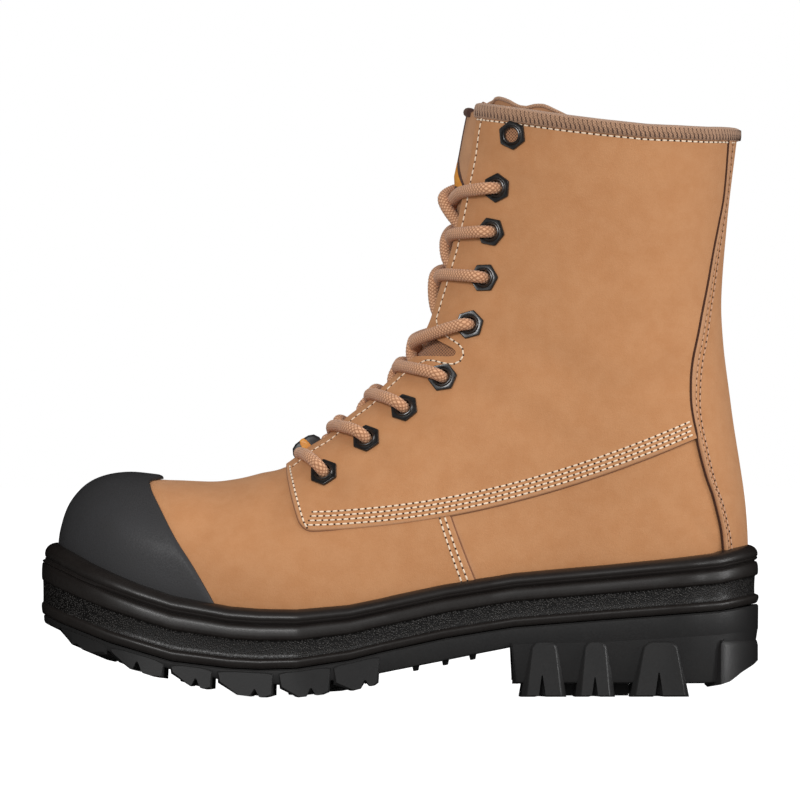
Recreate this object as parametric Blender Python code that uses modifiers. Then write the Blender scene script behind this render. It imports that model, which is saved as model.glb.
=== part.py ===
"""Tall laced work boot, left foot, modelled piece by piece.

Metres, +Z up, toe at -X, heel at +X, lateral (outer) side at -Y.
The origin is under the middle of the boot, on the floor.
All tables are in millimetres; MM turns them into metres.
"""

import math
from collections import namedtuple

import bmesh
import bpy
import numpy as np
from mathutils import Vector
from mathutils.bvhtree import BVHTree

MM = 0.001
WELD = 1e-6

# Driving sizes, millimetres
WALL = 2.0              # leather of the upper
PANEL = 1.4             # leather laid over the upper
CAP_WALL = 1.9          # rubber toe cap
FIT = 0.3               # gap between curved neighbours
FLOOR_DROP = 0.9        # floor of the midsole's cup below the feather edge
TONGUE_WALL = 3.6
TONGUE_SWELL = 4.0      # how far the tongue's middle stands out above the lacing
INSOLE_THICK = 5.0
INSOLE_CLEAR = 2.7      # from the inside of the upper to the insole's edge
THROAT_HALF_GAP = 7.0   # half of the lacing gap at its lower end
COLLAR_HALF_GAP = 13.0  # and at the collar
LACE_RADIUS = 2.7
EYELET_FLATS = 11.5
EYELET_HOLE = 6.2
EYELET_THICK = 1.8

# The last: a fan of flat sections from toe to collar. In side view a section is a straight
# line from its base (feather edge, or back seam) to its front (top of foot, or throat).
LastRow = namedtuple("LastRow", "front_x front_z base_x base_z centre lateral medial tuck widest crown")
LAST = {
    "toe_tip":    LastRow(-149.5, 60.0, -149.5, 44.0, 6.0, 0.0, 0.0, 0.90, 0.40, 2.4),
    "toe_front":  LastRow(-148.0, 73.0, -148.0, 43.6, 6.0, 15.5, 14.5, 0.90, 0.40, 2.4),
    "toe_turn":   LastRow(-143.5, 84.8, -143.5, 42.6, 6.0, 27.0, 24.5, 0.90, 0.40, 2.4),
    "toe_dome":   LastRow(-134.5, 93.2, -134.5, 40.5, 5.7, 37.0, 33.0, 0.91, 0.40, 2.4),
    "toe_top":    LastRow(-120.5, 96.4, -120.5, 37.3, 5.0, 45.0, 40.0, 0.92, 0.38, 2.4),
    "cap_edge":   LastRow(-101.0, 94.8, -101.0, 33.4, 4.2, 50.0, 45.0, 0.93, 0.36, 2.3),
    "vamp":       LastRow(-77.0, 94.7, -77.0, 30.2, 3.0, 53.0, 47.5, 0.93, 0.34, 2.1),
    "throat":     LastRow(-49.5, 100.3, -49.5, 28.4, 1.2, 54.5, 47.5, 0.93, 0.33, 1.95),
    "instep_low": LastRow(-24.0, 119.3, -20.0, 30.6, 0.4, 52.0, 44.0, 0.93, 0.34, 1.85),
    "instep":     LastRow(-1.0, 141.2, 18.0, 37.0, 0.0, 47.0, 40.5, 0.92, 0.36, 1.85),
    "ankle":      LastRow(12.2, 162.5, 66.0, 44.8, 0.0, 42.5, 39.5, 0.88, 0.40, 1.95),
    "heel":       LastRow(17.2, 179.5, 110.0, 49.6, 0.0, 41.0, 40.0, 0.88, 0.43, 2.0),
    "heel_round": LastRow(19.5, 188.5, 133.0, 51.6, 0.0, 41.0, 40.3, 0.74, 0.45, 2.0),
    "heel_turn":  LastRow(21.6, 197.0, 146.0, 53.2, 0.0, 41.0, 40.5, 0.47, 0.46, 2.0),
    "heel_back":  LastRow(23.4, 205.0, 151.6, 55.5, 0.0, 41.0, 40.5, 0.0, 0.47, 2.0),
    "back_low":   LastRow(26.0, 218.0, 151.0, 84.0, 0.0, 41.0, 40.5, 0.0, 0.47, 2.0),
    "back_mid":   LastRow(28.6, 231.0, 144.8, 126.0, 0.0, 40.5, 40.0, 0.0, 0.48, 2.0),
    "back_waist": LastRow(30.4, 241.0, 140.4, 168.0, 0.0, 40.5, 40.5, 0.0, 0.48, 2.05),
    "shaft":      LastRow(32.2, 250.5, 142.8, 208.0, 0.0, 42.0, 42.0, 0.0, 0.49, 2.1),
    "collar":     LastRow(34.0, 260.0, 147.6, 248.0, 0.0, 44.0, 44.0, 0.0, 0.50, 2.1),
}
LAST_NAMES = list(LAST)
LAST_VALUES = np.array(list(LAST.values()))
THROAT_ROW = LAST_NAMES.index("throat")
HEEL_ROW = LAST_NAMES.index("heel_back")
COLLAR_ROW = LAST_NAMES.index("collar")
BACK_FULLNESS = 2.2     # roundness of the lower half of a section
WIDEST_SHARE = 0.4      # share of a half section that lies below its widest point
SHARES = (0.0, 0.13, 0.27, 0.4, 0.55, 0.7, 0.85, 1.0)   # columns of a half section's mesh

# Sole outline in plan, and its lines in side view
PlanRow = namedtuple("PlanRow", "x centre lateral medial")
SOLE_PLAN = [
    PlanRow(-158.5, 6.0, 56.0, 50.0),
    PlanRow(-120.0, 5.0, 57.0, 51.0),
    PlanRow(-80.0, 3.0, 58.5, 52.5),
    PlanRow(-45.0, 1.0, 59.5, 52.0),
    PlanRow(-5.0, 0.0, 55.0, 45.0),
    PlanRow(40.0, 0.0, 47.0, 40.0),
    PlanRow(80.0, 0.0, 44.5, 41.5),
    PlanRow(120.0, 0.0, 43.5, 43.0),
    PlanRow(158.5, 0.0, 43.5, 43.0),
]
TOE_ROUND = (58.0, 2.3)   # length and superellipse power of the rounded ends
HEEL_ROUND = (42.0, 2.1)
SOLE_STATIONS = 24

LineRow = namedtuple("LineRow", "x tread base parting rim")
SOLE_LINES = [
    LineRow(-158.5, 31.0, 34.0, 39.5, 66.0),
    LineRow(-150.0, 25.5, 29.0, 33.5, 63.5),
    LineRow(-128.0, 15.5, 19.5, 24.0, 51.5),
    LineRow(-100.0, 6.5, 12.0, 16.0, 43.5),
    LineRow(-75.0, 1.6, 7.0, 13.0, 39.8),
    LineRow(-62.0, 0.0, 5.6, 12.4, 38.8),
    LineRow(-45.0, 0.0, 5.4, 12.9, 38.5),
    LineRow(-22.0, 2.6, 8.0, 16.5, 40.5),
    LineRow(-8.0, 6.0, 10.6, 20.0, 43.3),
    LineRow(20.0, 0.0, 16.0, 26.0, 49.4),
    LineRow(50.0, 0.0, 22.0, 30.8, 54.3),
    LineRow(90.0, 0.0, 23.0, 34.0, 57.8),
    LineRow(142.0, 0.0, 26.0, 37.8, 62.8),
    LineRow(158.5, 0.0, 28.0, 40.5, 66.5),
]

SLAB_INSET = 2.2          # outsole slab, inside the sole's outline

# Side bands of the midsole, from the parting line (0) to the rim (1)
BandRow = namedtuple("BandRow", "height inset")
MIDSOLE_BANDS = [
    BandRow(0.00, SLAB_INSET), BandRow(0.03, 0.0), BandRow(0.12, 0.0),
    BandRow(0.16, 1.8), BandRow(0.48, 1.8),
    BandRow(0.52, 0.6), BandRow(0.72, 0.8), BandRow(0.75, 1.7),
    BandRow(0.80, 0.6), BandRow(0.92, 1.4), BandRow(1.00, 5.0),
]
HEEL_BREAST = 47.5        # front of the heel block before its inset
HEEL_FLOOR = 8.0          # underside of the heel block between its lugs
HEEL_INSET = 3.0          # side of the heel block, inside the sole's outline

# Side lugs: where their foot starts and ends along the sole, and the notch in it
LugRow = namedtuple("LugRow", "start end notch notch_height taper")
FOREFOOT_LUGS = [
    LugRow(-151.0, -135.0, -142.5, 1.5, -1.5),
    LugRow(-128.0, -105.0, -115.3, 5.0, -1.5),
    LugRow(-100.0, -82.5, -89.3, 4.5, -1.5),
    LugRow(-79.5, -56.0, -63.3, 4.0, -1.0),
    LugRow(-52.0, -31.5, -38.6, 4.0, -1.0),
    LugRow(-28.5, -9.5, -14.8, 4.0, -1.0),
]
HEEL_LUGS = [
    LugRow(54.0, 72.5, 62.0, 11.0, 3.2),
    LugRow(77.8, 93.7, 85.5, 10.0, 2.6),
    LugRow(101.7, 127.0, 113.5, 12.5, 4.6),
]
HEEL_REAR = 138.0         # the rearmost lug wraps round the heel behind this place
LUG_DEPTH = 17.0
HEEL_LUG_TOP = 25.0
REAR_LUG_FOOT = 1.0
LUG_FACE = 0.4            # outer face of the lugs, inside the sole's outline
NOTCH_HALF = 3.2
# Rear bevel of the heel in side view: start on the floor, end at the back
HEEL_BEVEL = ((128.6, 0.4), (149.7, 7.8), (162.0, 17.5))
# Bars across the middle of the tread: place, half width across, length along
BarRow = namedtuple("BarRow", "x half_width length")
FOREFOOT_BARS = [BarRow(-119.0, 24.0, 11.0), BarRow(-99.0, 27.0, 11.0), BarRow(-79.0, 28.0, 11.0),
                 BarRow(-57.0, 26.0, 8.0), BarRow(-33.0, 24.0, 11.0)]
HEEL_BARS = [BarRow(65.0, 16.0, 10.0), BarRow(86.0, 15.0, 10.0), BarRow(108.0, 14.0, 10.0)]
ARCH_RIBS = (7.0, 20.0, 32.0)
RIB_SIDES = (-36.0, 32.0)   # ends of the arch ribs, lateral and medial
RIB_FOOT, RIB_TOE, RIB_HEIGHT = 2.0, 1.2, 2.2
ROOT = 2.0                  # how deep lugs and ribs run into the slab

# Panel edges in side view, millimetres
SIDE_REACH = 90.0         # outlines are cut through to this distance on each side
CAP_EDGE = [(-107.0, 106.0), (-109.5, 92.0), (-106.5, 84.3), (-98.6, 69.7), (-90.6, 57.3),
            (-82.0, 42.5), (-77.5, 30.0)]
QUARTER_FRONT = [(-51.0, 112.0), (-49.8, 96.7), (-47.6, 87.9), (-44.0, 76.9), (-40.4, 73.2)]
QUARTER_LOWER = [(-38.0, 72.6), (45.0, 76.0), (130.0, 113.5)]
STAY_FOOT = 63.2          # lower end of the backstay, inside the midsole's rim
BACKSTAY_EDGE = [(143.2, 256.0), (139.6, 218.0), (135.6, 196.0), (132.1, 174.0), (129.4, 152.0),
                 (128.6, 130.0), (130.1, 113.5), (133.9, 101.0), (139.1, 84.0), (142.4, 71.0),
                 (143.3, STAY_FOOT)]
FLEX_NOTCH = [(25.4, 150.7), (24.0, 152.6), (11.5, 159.3), (2.0, 164.5), (-1.0, 143.5), (8.6, 148.6),
              (24.0, 148.8)]
EYELETS = [(50.1, 247.0), (43.4, 223.6), (40.8, 204.2), (37.7, 183.9), (31.1, 163.2), (19.2, 139.8),
           (2.4, 126.1), (-14.3, 112.5), (-32.9, 97.5)]
# Lacing: height where a row's strand passes over its own eyestay edge, and where it tucks under
# the other. Lift is its clearance over the leather, and loop its distance over the gap's middle.
LaceRow = namedtuple("LaceRow", "row over tuck lift loop")
LACING = [
    LaceRow(2, 218.0, 207.0, 0.4, 7.6),
    LaceRow(3, 201.5, 190.0, 0.4, 5.4),
    LaceRow(4, 184.5, 169.5, 0.4, 5.4),
    LaceRow(5, 157.0, 150.5, 0.9, 6.0),
    LaceRow(6, 144.5, 138.5, 1.7, 6.2),
    LaceRow(7, 131.5, 125.8, 1.0, 5.4),
    LaceRow(8, 119.5, 114.5, 0.7, 5.0),
]
STRAND_STAGGER = 0.8      # a crossing's upper strand over, and lower strand under, its middle height
LACE_STEPS = 7            # points along one strand
BAR_LIFT = 0.7
KEEPER_ROW = 7.28         # row of the last under the lace keeper and its bar
EYELET_TURN = 17.0        # degrees that each eyelet is turned from the one above it

LEATHER = ("tan_leather", (0.52, 0.25, 0.10, 1.0), 0.75)
BLACK_RUBBER = ("black_rubber", (0.03, 0.028, 0.027, 1.0), 0.6)
MIDSOLE_FOAM = ("black_foam", (0.04, 0.033, 0.03, 1.0), 0.55)
TAPE = ("tan_tape", (0.49, 0.34, 0.26, 1.0), 0.9)
PADDING = ("tan_padding", (0.45, 0.25, 0.13, 1.0), 0.9)
CORD = ("tan_cord", (0.52, 0.25, 0.13, 1.0), 0.8)
HARDWARE = ("black_hardware", (0.015, 0.015, 0.016, 1.0), 0.3)
FOOTBED = ("grey_footbed", (0.12, 0.12, 0.12, 1.0), 0.9)


# Curves and the last's own surface

def smooth_row(rows, at):
    """Row at a fractional row number, on a Catmull-Rom curve through the rows."""
    last = len(rows) - 1
    i = min(max(int(math.floor(at)), 0), last - 1)
    t = at - i
    p1, p2 = rows[i], rows[i + 1]
    p0 = rows[i - 1] if i > 0 else 2 * p1 - p2
    p3 = rows[i + 2] if i + 2 <= last else 2 * p2 - p1
    return 0.5 * (2 * p1 + (p2 - p0) * t + (2 * p0 - 5 * p1 + 4 * p2 - p3) * t ** 2
                  + (3 * p1 - p0 - 3 * p2 + p3) * t ** 3)


def bezier(points, steps):
    """Points along a quadratic curve from the first to the last of three points."""
    a, b, c = (np.array(p) for p in points)
    return [tuple((1 - t) ** 2 * a + 2 * t * (1 - t) * b + t * t * c) for t in np.linspace(0, 1, steps)]


def section(s):
    """Section of the last at row number s."""
    row = LastRow(*smooth_row(LAST_VALUES, s))
    return row._replace(tuck=max(row.tuck, 0.0) if s < HEEL_ROW else 0.0)


def half_gap(s):
    """Half width of the lacing gap at row s, and none below the throat."""
    if s < THROAT_ROW - 1e-9:
        return 0.0
    share = (s - THROAT_ROW) / (COLLAR_ROW - THROAT_ROW)
    return THROAT_HALF_GAP + share * (COLLAR_HALF_GAP - THROAT_HALF_GAP)


def surface(s, share, side, slit=True):
    """Point of the upper's outer face; side is -1 lateral or 1 medial, share runs base to front."""
    row = section(s)
    half = max(row.lateral if side < 0 else row.medial, 0.0)
    low = math.asin(min(row.tuck, 1.0) ** (BACK_FULLNESS / 2))
    if share <= WIDEST_SHARE:
        angle = low + (math.pi / 2 - low) * share / WIDEST_SHARE
        width = math.sin(angle) ** (2 / BACK_FULLNESS)
        height = row.widest * (1 - (max(math.cos(angle), 0.0) / math.cos(low)) ** (2 / BACK_FULLNESS))
    else:
        gap = half_gap(s) if slit else 0.0
        stop = math.asin((gap / half) ** (row.crown / 2)) if gap else 0.0
        angle = math.pi / 2 + (math.pi / 2 - stop) * (share - WIDEST_SHARE) / (1 - WIDEST_SHARE)
        width = max(math.sin(angle), 0.0) ** (2 / row.crown)
        height = row.widest + (1 - row.widest) * abs(math.cos(angle)) ** (2 / row.crown)
    return np.array([row.base_x + height * (row.front_x - row.base_x),
                     row.centre + side * half * width,
                     row.base_z + height * (row.front_z - row.base_z)])


def normal(s, share, side, slit=True):
    """Outward unit normal of the upper's outer face."""
    step = 1e-3
    if s < step:
        return np.array([-1.0, 0.0, 0.0])
    low, high = max(share - step, 0.0), min(share + step, 1.0)
    behind = s if slit and half_gap(s) else s - step
    along = surface(s + step, share, side, slit) - surface(behind, share, side, slit)
    across = surface(s, high, side, slit) - surface(s, low, side, slit)
    out = np.cross(along, across) * -side
    closed_front = share > 1 - step and not (slit and half_gap(s))
    closed_back = share < step and s >= HEEL_ROW
    if closed_front or closed_back:
        out[1] = 0.0
    return out / np.linalg.norm(out)


def last_point(s, share, side, offset=0.0, slit=True):
    """Point at a distance outside the upper's outer face."""
    return surface(s, share, side, slit) + offset * normal(s, share, side, slit)


def edge_row(z):
    """Row of the last where the eyestay edge has height z."""
    rows = np.linspace(THROAT_ROW, COLLAR_ROW, 121)
    return float(np.interp(z, [surface(s, 1.0, -1)[2] for s in rows], rows))


def front_point(s, across, offset):
    """Point over the closed front of the last at a distance across from its centre line."""
    row = section(s)
    side = -1 if across < 0 else 1
    half = row.lateral if side < 0 else row.medial
    turn = math.asin((abs(across) / half) ** (row.crown / 2))
    share = 1 - (1 - WIDEST_SHARE) * turn / (math.pi / 2)
    return last_point(s, share, side, offset, slit=False)


def place_in_side_view(x, z, side):
    """Row and share of the last's point that is seen at x, z from the side."""
    def beside(s):
        row = section(s)
        return (row.front_x - row.base_x) * (z - row.base_z) - (row.front_z - row.base_z) * (x - row.base_x)
    low, high = 0.0, float(COLLAR_ROW)
    for _ in range(50):
        middle = (low + high) / 2
        low, high = (middle, high) if beside(middle) < 0 else (low, middle)
    row = section(low)
    height = math.dist((x, z), (row.base_x, row.base_z)) / math.dist((row.front_x, row.front_z),
                                                                     (row.base_x, row.base_z))
    shares = np.linspace(0, 1, 401)
    reach = [surface(low, share, side) for share in shares]
    seen = [math.dist((p[0], p[2]), (row.base_x, row.base_z)) for p in reach]
    span = math.dist((row.front_x, row.front_z), (row.base_x, row.base_z))
    return low, float(np.interp(height * span, seen, shares))


# Meshes from points in millimetres

def link(name, mesh, finish=None):
    """Put a mesh into the boot's collection, or into the cutters' when it has no finish."""
    obj = bpy.data.objects.new(name, mesh)
    if finish:
        parts.objects.link(obj)
        mesh.materials.append(material(*finish))
    else:
        cutters.objects.link(obj)
        obj.hide_render = True
        obj.display_type = "WIRE"
    return obj


def material(name, colour, roughness):
    """Principled material, made once for each name."""
    made = bpy.data.materials.get(name)
    if made is None:
        made = bpy.data.materials.new(name)
        made.use_nodes = True
        shader = made.node_tree.nodes["Principled BSDF"]
        shader.inputs["Base Color"].default_value = colour
        shader.inputs["Roughness"].default_value = roughness
        made.diffuse_color = colour
    return made


def mesh_of(name, points, faces, closed=True):
    """Mesh from points and faces, welded, with a closed one's faces turned outward."""
    mesh = bpy.data.meshes.new(name)
    shifted = (np.array(points) + (0.0, SIDE_SHIFT, 0.0)) * MM
    mesh.from_pydata([tuple(p) for p in shifted], [], faces)
    work = bmesh.new()
    work.from_mesh(mesh)
    bmesh.ops.remove_doubles(work, verts=work.verts, dist=WELD)
    if closed:
        bmesh.ops.recalc_face_normals(work, faces=work.faces)
    work.to_mesh(mesh)
    work.free()
    return mesh


def loft(rings):
    """Points and faces of a body through rings of equally many points, with flat ends."""
    count = len(rings[0])
    points = [p for ring in rings for p in ring]
    faces = []
    for r in range(len(rings) - 1):
        for i in range(count):
            j = (i + 1) % count
            faces.append((r * count + i, r * count + j, (r + 1) * count + j, (r + 1) * count + i))
    faces.append(tuple(range(count)))
    faces.append(tuple(range((len(rings) - 1) * count, len(rings) * count)))
    return points, faces


def strip_loft(rings, shared_tip):
    """As loft, with ends covered across in strips, from one half of the ring to the other.

    shared_tip is 1 where the ring starts at a tip that both halves share, and 0 where it doesn't.
    """
    points, faces = loft(rings)
    count = len(rings[0])
    faces = faces[:-2]
    for start in (0, (len(rings) - 1) * count):
        pairs = [(start + i, start + (count - 1 + shared_tip - i) % count)
                 for i in range((count + 1 + shared_tip) // 2)]
        for (a, b), (c, d) in zip(pairs, pairs[1:]):
            corners = [a, c, d, b]
            faces.append(tuple(dict.fromkeys(corners)))
    return points, faces


def together(bodies):
    """Points and faces of several bodies as one list."""
    points, faces = [], []
    for body_points, body_faces in bodies:
        base = len(points)
        points.extend(body_points)
        faces.extend(tuple(i + base for i in face) for face in body_faces)
    return points, faces


def side_prism(name, outline, y_from, y_to):
    """Cutter with an outline in side view, from one y to another."""
    rings = [[(x, y, z) for x, z in outline] for y in (y_from, y_to)]
    return link(name, mesh_of(name, *loft(rings)))


def boolean(obj, operation, cutter):
    """Add a Boolean modifier."""
    step = obj.modifiers.new(operation.lower() + "_" + cutter.name, "BOOLEAN")
    step.operation = operation
    step.object = cutter
    step.solver = "EXACT"


def solidify(obj, thickness, outward):
    """Turn an open sheet into a wall."""
    step = obj.modifiers.new("wall", "SOLIDIFY")
    step.thickness = thickness * MM
    step.offset = 1.0 if outward else -1.0
    step.use_quality_normals = True


def row_numbers():
    """Rows of the last's mesh: closer together round toe and heel than along instep and shaft."""
    toe, throat = list(np.arange(0, 5.25, 0.5)), list(np.arange(6, 8.25, 0.5))
    heel = list(np.arange(12, HEEL_ROW - 0.25, 0.5)) + [HEEL_ROW - 0.2]
    return toe + throat + [9.0, 10.0, 11.0] + heel + list(range(HEEL_ROW, COLLAR_ROW + 1))


def split_quad(corner, width):
    """Two triangles of a grid's quad, always split the same way so that sheets stay parallel."""
    beside, ahead, across = corner + 1, corner + width, corner + width + 1
    return [(corner, ahead, across), (corner, across, beside)]


def last_sheet(name, offset, slit=True, closed=False):
    """Sheet over the last at an offset, a number or a function of the row; closed adds floor and lid."""
    rows = row_numbers()
    columns = len(SHARES)
    width = 2 * columns
    points, faces = [], []
    for s in rows:
        out = offset(s) if callable(offset) else offset
        lateral = [last_point(s, share, -1, out, slit) for share in SHARES]
        medial = [last_point(s, share, 1, out, slit) for share in reversed(SHARES)]
        if closed and s <= HEEL_ROW:
            lateral[0][2] -= FLOOR_DROP
            medial[-1][2] -= FLOOR_DROP
        points += lateral + medial
    for r in range(len(rows) - 1):
        for c in range(width - 1):
            if c != columns - 1:
                faces += split_quad(r * width + c, width)
        if slit and half_gap(rows[r + 1]) and not half_gap(rows[r]):
            a = r * width + columns - 1
            faces.append((a, a + width, a + width + 1))
        if closed and rows[r + 1] <= HEEL_ROW:
            a, b = r * width, r * width + width - 1
            faces.append((a, b, b + width, a + width))
    if closed:
        top = (len(rows) - 1) * width
        faces.append(tuple(range(top, top + width)))
    mesh = mesh_of(name, points, faces, closed)
    if closed:
        tidy = bmesh.new()
        tidy.from_mesh(mesh)
        bmesh.ops.dissolve_degenerate(tidy, edges=tidy.edges, dist=WELD)
        bmesh.ops.recalc_face_normals(tidy, faces=tidy.faces)
        tidy.to_mesh(mesh)
        tidy.free()
    return mesh


# Sole outline and lines

def sole_line(name, x):
    """Height of one of the sole's lines at x."""
    return float(np.interp(x, [row.x for row in SOLE_LINES], [getattr(row, name) for row in SOLE_LINES]))


def sole_half(x, name):
    """Half width of the sole at x, to the lateral or the medial side, with rounded ends."""
    across = float(np.interp(x, [row.x for row in SOLE_PLAN], [getattr(row, name) for row in SOLE_PLAN]))
    ends = (SOLE_PLAN[0].x, SOLE_PLAN[-1].x)
    for end, (length, power) in zip(ends, (TOE_ROUND, HEEL_ROUND)):
        past = max(length - abs(x - end), 0.0) / length
        across *= max(1 - past ** power, 0.0) ** (1 / power)
    return across


def sole_edge(x, side):
    """Plan point of the sole's outline at x on one side."""
    centre = float(np.interp(x, [row.x for row in SOLE_PLAN], [row.centre for row in SOLE_PLAN]))
    return np.array([x, centre + side * sole_half(x, "lateral" if side < 0 else "medial")])


def outline(x_from=None):
    """Plan points round the sole from the toe along the lateral side and back; x_from starts it later."""
    toe, heel = SOLE_PLAN[0].x, SOLE_PLAN[-1].x
    turns = np.linspace(0, math.pi, SOLE_STATIONS + 1)
    stations = [(toe + heel) / 2 - (heel - toe) / 2 * math.cos(turn) for turn in turns]
    if x_from is not None:
        stations = [x_from] + [x for x in stations if x > x_from + 2.0]
        centre = [np.array([x_from, float(np.mean([sole_edge(x_from, side)[1] for side in (-1, 1)]))])]
        sides = [sole_edge(x, -1) for x in stations] + [sole_edge(x, 1) for x in stations[-2::-1]]
        return np.array(centre + sides)
    return np.array([sole_edge(x, -1) for x in stations] + [sole_edge(x, 1) for x in stations[-2:0:-1]])


def inset(plan, distance):
    """Plan outline moved inward by a distance."""
    ahead = np.roll(plan, -1, axis=0) - np.roll(plan, 1, axis=0)
    inward = np.stack([-ahead[:, 1], ahead[:, 0]], axis=1)
    return plan + distance * inward / np.linalg.norm(inward, axis=1, keepdims=True)


def sole_ring(distance, height):
    """Ring round the sole at an inset; height gives z from x."""
    return [(x, y, height(x)) for x, y in inset(outline(), distance)]


def side_frame(x, side):
    """Outline point and inward plan direction at x."""
    before, after = sole_edge(x - 0.5, side), sole_edge(x + 0.5, side)
    along = after - before
    inward = np.array([along[1], -along[0]]) * side
    return sole_edge(x, side), inward / np.linalg.norm(inward)


def lug(row, side, tread, top):
    """Block on the sole's side with a notched foot; tread and top give z from x."""
    foot = [row.start, row.notch - NOTCH_HALF, row.notch, row.notch + NOTCH_HALF, row.end]
    head = [row.start + row.taper] + foot[1:-1] + [row.end - row.taper]
    profile = [(x, tread, row.notch_height if x == row.notch else 0.0) for x in foot]
    profile += [(x, top, 0.0) for x in reversed(head)]
    rings = []
    for inward in (LUG_FACE, LUG_FACE + LUG_DEPTH):
        ring = []
        for x, line, lift in profile:
            point, direction = side_frame(x, side)
            plan = point + direction * inward
            ring.append((plan[0], plan[1], line(plan[0]) + lift))
        rings.append(ring)
    return strip_loft(rings, 0)


def bar(row, tread, top):
    """Chevron bar across the tread."""
    centre = float(np.interp(row.x, [p.x for p in SOLE_PLAN], [p.centre for p in SOLE_PLAN]))
    sweep = row.length / 2
    plan = [(row.x + sweep, -row.half_width), (row.x - sweep, 0.0), (row.x + sweep, row.half_width)]
    plan += [(x + row.length, y) for x, y in reversed(plan)]
    return loft([[(x, centre + y, line(x)) for x, y in plan] for line in (tread, top)])


# The pieces

def make_upper(holes, notches):
    """Hollow leather wall, open at collar, throat and underneath."""
    upper = link("upper", last_sheet("upper", 0.0), LEATHER)
    solidify(upper, WALL, outward=False)
    boolean(upper, "DIFFERENCE", holes)
    boolean(upper, "DIFFERENCE", notches)


def overlay(name, finish, thickness, cutter):
    """Panel over the upper: a wall parallel to it, kept where the cutter is."""
    panel = link(name, last_sheet(name, FIT), finish)
    solidify(panel, thickness, outward=True)
    boolean(panel, "INTERSECT", cutter)
    return panel


def make_overlays(holes, notches):
    """Toe cap, quarters and backstay."""
    far = SIDE_REACH
    cap = [(-170.0, 30.0), (-170.0, 106.0)] + CAP_EDGE
    overlay("toe_cap", BLACK_RUBBER, CAP_WALL, side_prism("cap_outline", cap, -far, far))
    stay = [(170.0, STAY_FOOT), (170.0, 262.0), (143.8, 262.0)] + BACKSTAY_EDGE
    overlay("backstay", LEATHER, PANEL, side_prism("stay_outline", stay, -far, far))
    rear = [(x - FIT, z) for x, z in reversed(BACKSTAY_EDGE) if z > 113.0]
    quarter = QUARTER_FRONT + bezier(QUARTER_LOWER, 8)[:-1] + rear
    quarter += [(143.5 - FIT, 275.0), (0.0, 275.0)]
    inner_edge = THROAT_HALF_GAP / 2
    for name, near, away in (("quarter_lateral", -inner_edge, -far), ("quarter_medial", inner_edge, far)):
        panel = overlay(name, LEATHER, PANEL, side_prism(name + "_outline", quarter, near, away))
        boolean(panel, "DIFFERENCE", holes)
        boolean(panel, "DIFFERENCE", notches)


def make_collar_binding():
    """Tape folded over the collar, from one eyestay edge round the back to the other."""
    tape, drop, rise = 1.2, 4.2, 1.6
    inner, outer = -WALL - FIT, FIT + PANEL + FIT
    profile = [(inner - tape, -drop), (inner - tape, rise), (outer + tape, rise), (outer + tape, -drop),
               (outer, -drop), (outer, FIT), (inner, FIT), (inner, -drop)]
    stations = [(share, -1) for share in reversed(SHARES)] + [(share, 1) for share in SHARES[1:]]
    rings = []
    for share, side in stations:
        top = surface(COLLAR_ROW, share, side)
        out = normal(COLLAR_ROW, share, side)
        rise_line = top - surface(COLLAR_ROW - 0.05, share, side)
        up = rise_line - out * float(np.dot(rise_line, out))
        up /= np.linalg.norm(up)
        rings.append([top + out * across + up * height for across, height in profile])
    link("collar_binding", mesh_of("collar_binding", *loft(rings)), TAPE)


def make_tongue():
    """Padded tongue behind the lacing gap, from the throat to just above the collar."""
    clear = WALL + 0.5
    rows = [s for s in row_numbers() if s >= THROAT_ROW - 0.5] + [COLLAR_ROW + 0.35]
    shares = [share for share in SHARES if share >= 0.7]
    points, faces = [], []
    swell_rows = (edge_row(212.0), edge_row(232.0))
    for s in rows:
        depth = float(np.interp(s, (17.0, 18.5), (clear, clear + 2.0)))
        swell = float(np.interp(s, swell_rows, (-depth, TONGUE_SWELL)))
        points += [last_point(s, share, -1, -depth) for share in shares]
        points.append(last_point(s, 1.0, -1, swell, slit=False))
        points += [last_point(s, share, 1, -depth) for share in reversed(shares)]
    width = 2 * len(shares) + 1
    for r in range(len(rows) - 1):
        for c in range(width - 1):
            faces += split_quad(r * width + c, width)
    tongue = link("tongue", mesh_of("tongue", points, faces, closed=False), PADDING)
    solidify(tongue, TONGUE_WALL, outward=False)


def make_insole():
    """Footbed inside the upper's feather edge."""
    rows = [s for s in row_numbers() if s <= HEEL_ROW]
    lateral = [last_point(s, 0.0, -1) for s in rows]
    feather = np.array(lateral + [last_point(s, 0.0, 1) for s in rows[-2:0:-1]])
    plan = inset(feather[:, :2], WALL + INSOLE_CLEAR)
    order = np.argsort(feather[:len(rows), 0])
    heights = np.interp(plan[:, 0], feather[order, 0], feather[order, 2])
    rings = [[(x, y, z + up) for (x, y), z in zip(plan, heights)]
             for up in (FIT - FLOOR_DROP, INSOLE_THICK)]
    link("insole", mesh_of("insole", *strip_loft(rings, 1)), FOOTBED)


def cavity_offset(s):
    """Clearance of the midsole's cup: wider where toe cap and backstay reach down into it."""
    cap, stay = FIT + CAP_WALL + 0.5, FIT + PANEL + 0.9
    return float(np.interp(s, (6.0, 6.5, 11.0, 12.0), (cap, FIT, FIT, stay)))


def make_midsole():
    """Cup with stepped side bands that takes the lower edge of the upper."""
    rings = []
    for band in MIDSOLE_BANDS:
        def height(x, share=band.height):
            low, high = sole_line("parting", x), sole_line("rim", x)
            return low + share * (high - low)
        rings.append(sole_ring(band.inset, height))
    midsole = link("midsole", mesh_of("midsole", *strip_loft(rings, 1)), MIDSOLE_FOAM)
    foot = link("foot_space", last_sheet("foot_space", cavity_offset, slit=False, closed=True))
    boolean(midsole, "DIFFERENCE", foot)


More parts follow.
